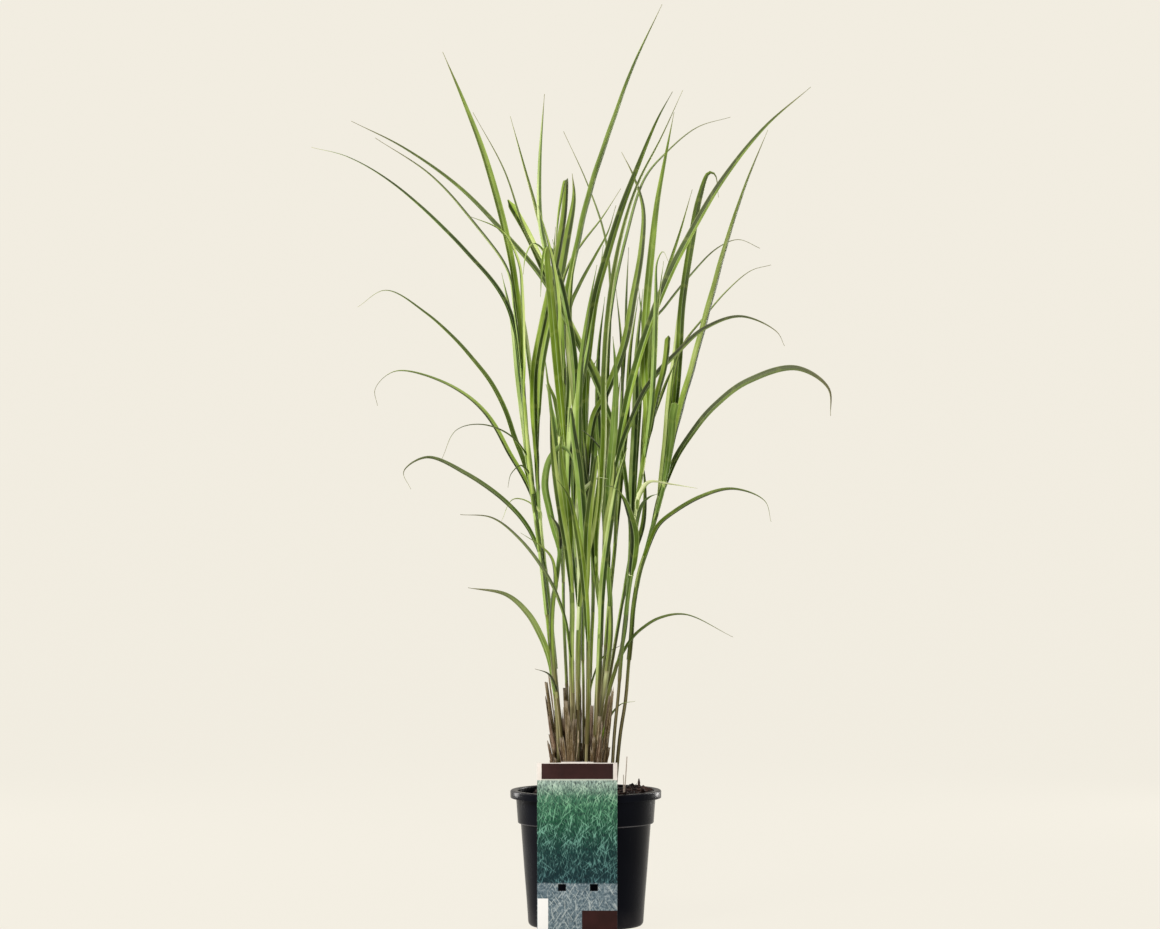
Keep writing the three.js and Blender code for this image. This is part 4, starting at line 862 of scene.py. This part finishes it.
        (400, 6, 190, 0.4, 0.2, [(62, 470), (72, 505), (74, 560), (70, 590)]),
        (540, 3.4, 130, 0.3, 0.5, [(76, 660), (84, 756), (100, 778), (128, 813), (165, 851), (192, 862),
         (219, 851)]),
        (550, 6, 150, 0.5, 0.3, [(78, 680), (88, 772), (103, 824), (118, 870), (134, 925)]),
    ]),
    "stem_back": (2.7, (31, 100), 0.25, [(-10, 150), (-9, 300), (-8, 400), (-12, 470), (-17, 540),
        (-19, 600)], [
        (380, 8, 200, 0.4, 0.1, [(-14, 460), (-26, 540), (-34, 610), (-50, 680)]),
        (460, 8, 230, 0.35, 0.1, [(-14, 540), (-8, 600), (-4, 640), (-2, 610)]),
        (520, 8, 279, 0.35, 0.1, [(-12, 620), (0, 690), (10, 760), (18, 820), (22, 855)]),
        (550, 7, 240, 0.4, 0.2, [(-24, 660), (-31, 730), (-37, 800), (-40, 845), (-38, 878)]),
    ]),
    "stem_front": (2.9, (-31, -100), 0.5, [(-1, 150), (3, 300), (2, 400), (-2, 480), (-7, 560)], [
        (360, 8, -180, 0.38, 0.1, [(-2, 430), (-10, 490), (-22, 540), (-36, 560)]),
        (420, 9, -220, 0.42, 0.1, [(3, 500), (10, 560), (14, 590), (16, 560)]),
        (470, 10, -230, 0.42, 0.1, [(-8, 560), (-16, 620), (-20, 650), (-22, 620)]),
        (520, 8, -190, 0.46, 0.1, [(-9, 620), (-6, 700), (3, 770), (14, 830)]),
    ]),
}
# The stems that stand bare of old husks at the foot, and what all blades share: the rows of their
# meshes, where most start to taper, the mm in which a sheath opens, and how far it clasps, in radians.
BARE_FEET = ("stem_right_front", "stem_right_outer", "stem_far_right")
SHEATH_ROWS, BLADE_ROWS, BLADE_TAPER, THROAT, CLASP = 14, 92, 0.47, 14, 2.95


def set_back(spot, depth):
    """A spot of the picture plane in mm, moved to this depth along the line of sight."""
    grow = 1 + depth / EYE_DISTANCE
    return np.array((EYE_SIDE + (spot[0] - EYE_SIDE) * grow, depth,
                     EYE_HEIGHT + (spot[1] - EYE_HEIGHT) * grow))


class Line:
    """A smooth curve through points, read by its share of the whole length."""

    def __init__(self, points):
        points = [np.array(p, float) for p in points]
        points = [2 * points[0] - points[1]] + points + [2 * points[-1] - points[-2]]
        spots = []
        for a, b, c, d in zip(points, points[1:], points[2:], points[3:]):
            ab, bc, cd = (max(1e-4, math.sqrt(np.linalg.norm(q - p)))
                          for p, q in ((a, b), (b, c), (c, d)))
            leave = ((b - a) / ab - (c - a) / (ab + bc) + (c - b) / bc) * bc
            arrive = ((c - b) / bc - (d - b) / (bc + cd) + (d - c) / cd) * bc
            for t in np.linspace(0, 1, 40, endpoint=False):
                spots.append((2 * t**3 - 3 * t**2 + 1) * b + (t**3 - 2 * t**2 + t) * leave
                             + (3 * t**2 - 2 * t**3) * c + (t**3 - t**2) * arrive)
        spots.append(points[-2])
        self.spots = np.array(spots)
        steps = np.linalg.norm(np.diff(self.spots, axis=0), axis=1)
        self.reach = np.concatenate([[0], np.cumsum(steps)])
        self.length = self.reach[-1]

    def at(self, share):
        return np.array([np.interp(share * self.length, self.reach, self.spots[:, i]) for i in range(3)])

    def height(self, z):
        return np.array([np.interp(z, self.spots[:, 2], self.spots[:, i]) for i in range(3)])


def turned_about(vector, pole, angle):
    """The vector turned by the angle about a pole of length 1."""
    return (vector * math.cos(angle) + np.cross(pole, vector) * math.sin(angle)
            + pole * np.dot(pole, vector) * (1 - math.cos(angle)))


def unit(vector):
    return vector / max(1e-9, np.linalg.norm(vector))


blade_sheet = sheet_of("blade_sheet", 8, SHEATH_ROWS + BLADE_ROWS)
culm_sheet = sheet_of("culm_sheet", 12, 110)


def leaf(culm, culm_radius, blade, layer, sheath_length, seed):
    """One sheath and its blade as a single sheet, wrapped round the culm and then laid out."""
    collar_height, width, tip_depth, tone, dryness, line = blade[:6]
    root, collar = culm.height(collar_height - THROAT), culm.height(collar_height)
    flat = [np.array((collar[0], collar[2]))] + [np.array(p, float) for p in line]
    runs = np.cumsum([0] + [np.linalg.norm(b - a) for a, b in zip(flat, flat[1:])])
    outer = [set_back(p, collar[1] + (tip_depth - collar[1]) * (run / runs[-1]) ** 1.15)
             for p, run in zip(flat[1:], runs[1:])]
    path = Line([root, collar] + outer)
    foot = collar_height - THROAT - sheath_length
    centres = [culm.height(foot + sheath_length * row / SHEATH_ROWS) for row in range(SHEATH_ROWS)]
    shares = [(row / BLADE_ROWS) ** 1.1 for row in range(BLADE_ROWS + 1)]
    centres = np.array(centres + [path.at(share) for share in shares])
    shares = np.array([0.0] * SHEATH_ROWS + shares)
    runs = np.concatenate([[0], np.cumsum(np.linalg.norm(np.diff(centres, axis=0), axis=1))])
    past = runs - runs[SHEATH_ROWS] - THROAT
    ways = np.gradient(centres, axis=0)
    lean = unit((path.at(1) - path.at(0)) * (1, 1, 0))
    side = -1 if lean[1] > 0 else 1
    across = unit(np.array((-lean[1] + side, lean[0], 0)))
    twist = 0.6 * math.sin(collar_height * 1.7 + line[0][0])
    full = width * 1.15 / 2
    taper = blade[6] if len(blade) > 6 else BLADE_TAPER
    rows = []
    for row, centre in enumerate(centres):
        way, share = unit(ways[row]), shares[row]
        across = unit(across - way * np.dot(across, way))
        turned_across = turned_about(across, way, twist * share)
        towards = np.cross(way, turned_across)
        half = full * min(1, 0.45 + 3.2 * share)
        if taper == 1:
            half *= 1 - 0.8 * soft_step(share, 0.97, 1)
        elif share > taper:
            half *= 1 - ((share - taper) / (1 - taper)) ** 1.7
        half = max(half, 0.3)
        hug = culm_radius(centre[2]) * 0.78 + 0.3 * layer
        opened, laid_out = soft_step(past[row], -4, 14), soft_step(past[row], 5, 90)
        bend = (CLASP * (1 - opened) + 1.25 * opened) * (1 - laid_out)
        bend += (0.88 - 0.45 * share) * laid_out
        arc = hug * CLASP * (1 - opened) + half * opened
        off = hug * (1 - soft_step(past[row], 4, 55))
        rows.append((centre, turned_across, towards, arc, bend, off, share, past[row]))
    ripple = 0.5 + 0.5 * math.sin(seed * 3.1)

    def place(along, spread):
        row = round(along * (SHEATH_ROWS + BLADE_ROWS))
        centre, crosswise, towards, arc, bend, off, share, passed = rows[row]
        spread = math.copysign(abs(spread) ** 1.35, spread)
        curve = arc / bend
        rise = curve * (1 - math.cos(spread * bend)) - off
        rise -= 0.28 * math.exp(-((spread / 0.14) ** 2)) * (1 - share) * soft_step(passed, 0, 30)
        rise += ripple * arc * 0.16 * abs(spread) ** 3 * math.sin(passed / 9 + seed) * soft_step(
            passed, 20, 80) * (1 - share)
        return centre + crosswise * curve * math.sin(spread * bend) + towards * rise

    return laid(blade_sheet, place, {
        "across": lambda along, spread: math.copysign(abs(spread) ** 1.35, spread),
        "along": lambda along, spread: rows[round(along * (SHEATH_ROWS + BLADE_ROWS))][6],
        "past": lambda along, spread: rows[round(along * (SHEATH_ROWS + BLADE_ROWS))][7] / 1000,
        "tone": tone, "dryness": dryness, "seed": seed})


fresh = Finish("fresh_grass", Specular_IOR_Level=0.05)
edge, share, past = fresh.attribute("across"), fresh.attribute("along"), fresh.attribute("past")
tone, seed = fresh.attribute("tone"), fresh.attribute("seed")
fine = fresh.node("CombineXYZ", inputs={0: edge * 7, 1: past * 9, 2: seed * 3})
streak = fresh.cloud(1, 4, fine, 0.6)
# A coarse cloud along each blade. Partly it is tone that differs at random; partly it is painted light,
# lighter patches as if the blade caught the light where it turns.
coarse = fresh.node("CombineXYZ", inputs={0: edge * 0.5, 1: past * 14, 2: seed * 5})
mottle_and_lit_patches = fresh.cloud(1, 3, coarse)
on_blade = fresh.between(past, -0.002, 0.006)
# Painted light and shade: one half of each blade, on one side of the midrib, is lightened and the other
# darkened, as if the blade were lit from one side.
lit_and_shaded_halves = (fresh.between(edge, -0.12, 0.12) - 0.5) * (seed * 2.3).sine() * 0.58
# Painted shade: the leaves are darkened low in the clump, fully below 0.3 m and fading out by 0.62 m.
painted_shade_low = fresh.between(fresh.axis("Z"), 0.62, 0.3)
depth = tone + (mottle_and_lit_patches - 0.5) * 0.75 + (streak - 0.5) * 0.5 + lit_and_shaded_halves - painted_shade_low * 0.06
green = fresh.ramp(depth, (0.0, (0.017, 0.029, 0.005)), (0.25, (0.042, 0.075, 0.006)),
                   (0.45, (0.107, 0.175, 0.010)), (0.65, (0.25, 0.355, 0.052)),
                   (0.85, (0.54, 0.63, 0.23)), (1.0, (0.74, 0.79, 0.45)))
sea_green = fresh.ramp(depth, (0.0, (0.014, 0.030, 0.013)), (0.25, (0.031, 0.072, 0.027)),
                       (0.45, (0.068, 0.155, 0.052)), (0.65, (0.15, 0.28, 0.10)),
                       (0.85, (0.32, 0.46, 0.22)), (1.0, (0.56, 0.68, 0.42)))
green = fresh.blend(fresh.between((seed * 1.9).sine(), 0.2, 1.0) * 0.35, green, sea_green)
rib = fresh.between(abs(edge), 0.10, 0.04) * on_blade * fresh.between(share, 0.9, 0.3)
green = fresh.blend(rib * 0.6, green, (0.40, 0.52, 0.22))
band = fresh.between((past * 105 + seed * 2 + mottle_and_lit_patches * 3).sine(), 0.93, 0.995)
green = fresh.blend(band * on_blade * 0.12, green, (0.40, 0.46, 0.11))
sheath = fresh.blend(fresh.between(streak, 0.35, 0.7) * 0.5, green, (0.30, 0.36, 0.15))
old = fresh.between(fresh.axis("Z") + (mottle_and_lit_patches - 0.5) * 0.12, 0.385, 0.26)
bleached_sheath = fresh.ramp(streak, (0.3, (0.030, 0.021, 0.008)), (0.48, (0.105, 0.085, 0.034)),
                             (0.66, (0.34, 0.30, 0.17)))
sheath = fresh.blend(old * 0.92, sheath, bleached_sheath)
green = fresh.blend(on_blade, sheath, green)
end = fresh.between(share + (mottle_and_lit_patches - 0.5) * 0.12, 1.02 - fresh.attribute("dryness") * 0.55, 1.03)
straw_ends = fresh.ramp(streak, (0.3, (0.10, 0.075, 0.045)), (0.7, (0.30, 0.23, 0.13)))
green = fresh.blend(end * 0.85, green, straw_ends)
# Painted highlight: the margins of the green blades are lightened towards pale yellow-green, as if they
# caught the light.
margin_highlight = fresh.between(abs(edge), 0.72, 1.0) * on_blade * (1 - fresh.attribute("dryness"))
green = fresh.blend(margin_highlight * 0.4, green, (0.50, 0.58, 0.24))
grey = fresh.between(share, 0.1, 0.75) * fresh.attribute("dryness") * on_blade
green = fresh.blend(grey * 0.8, green, fresh.ramp(streak, (0.35, (0.115, 0.12, 0.070)),
                                                   (0.65, (0.33, 0.335, 0.24))))
green = fresh.blend(fresh.attribute("ring") * 0.6, green, (0.13, 0.09, 0.04))
papery = fresh.cloud(240, 4, fresh.place(1, 1, 0.1), 0.7)
husks = fresh.ramp(papery * 0.5 + streak * 0.5, (0.36, (0.026, 0.015, 0.008)),
                   (0.46, (0.11, 0.070, 0.038)), (0.55, (0.26, 0.19, 0.11)), (0.66, (0.52, 0.43, 0.30)))
green = fresh.blend(fresh.attribute("withered"), green, husks)
veins = (edge * 42).sine() * 0.5 + 0.5

for number, (name, (radius, depths, culm_tone, culm_line, blades)) in enumerate(STEMS.items()):
    base, top = culm_line[0][1], culm_line[-1][1]
    culm = Line([set_back((x, z), np.interp(z, (base, top), depths)) for x, z in culm_line])
    top_z = culm.spots[-1][2]

    def culm_radius(height):
        return radius * (1 - 0.35 * min(1, max(0, (height - base) / (top_z - base))))

    blades = sorted(blades)
    lengths, last = [], 175
    for blade in blades:
        lengths.append(max(24, min(115, 45 + 0.8 * (blade[0] - last), blade[0] - THROAT - 168)))
        last = blade[0]
    nodes = [blade[0] - THROAT - length for blade, length in zip(blades, lengths)]

    def culm_place(along, across):
        height = base + (top_z - base) * along
        centre = culm.height(height)
        wide = culm_radius(height) * 0.76 * (1 - 0.8 * soft_step(along, 0.97, 1))
        wide += sum(0.35 * math.exp(-((height - node) / 2.2) ** 2) for node in nodes)
        angle = across * math.pi
        return centre + np.array((wide * math.cos(angle), wide * math.sin(angle), 0))

    def ring(along, across):
        height = base + (top_z - base) * along
        return min(1, sum(math.exp(-((height - node) / 3.5) ** 2) for node in nodes))

    parts = [laid(culm_sheet, culm_place, {
        "across": lambda along, across: across, "along": 0.0,
        "past": lambda along, across: -0.02 - (1 - along) * (top_z - base) / 1000,
        "tone": culm_tone, "dryness": 0.0, "seed": number * 1.3, "ring": ring})]
    for order, (blade, length) in enumerate(zip(blades, lengths)):
        inner = sum(1 for node in nodes[order + 1:] if node < blade[0])
        parts.append(leaf(culm, culm_radius, blade, 1 + min(3, inner), length,
                          number * 1.3 + order * 0.77))
    for layer in range(0 if name in BARE_FEET else 2):
        foot = culm.height(FOOT)
        lean = (culm.height(FOOT + 90) - foot) / 90
        parts.append(husk(foot, radius + 0.2 + 0.5 * layer, lean,
                          245 - 38 * layer + 25 * math.sin(number * 2.1 + layer),
                          number * 2.3 + 2.7 * layer, 1.5, number + 0.5 * layer))
    plant = joined("leafy_" + name, parts)
    finish_with(plant, "SOLIDIFY", thickness=0.38 * MM, offset=0, use_even_offset=False)
    rounded(plant, 70)
    fresh.wear(plant, green, 0.40 + streak * 0.16 + end * 0.2, veins * 0.45 + streak * 0.55, 0.00022)
    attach(plant, "root")
    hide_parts(name)

for flat in (tube_sheet, husk_sheet, straw_sheet, blade_sheet, culm_sheet):
    bpy.data.objects.remove(flat)
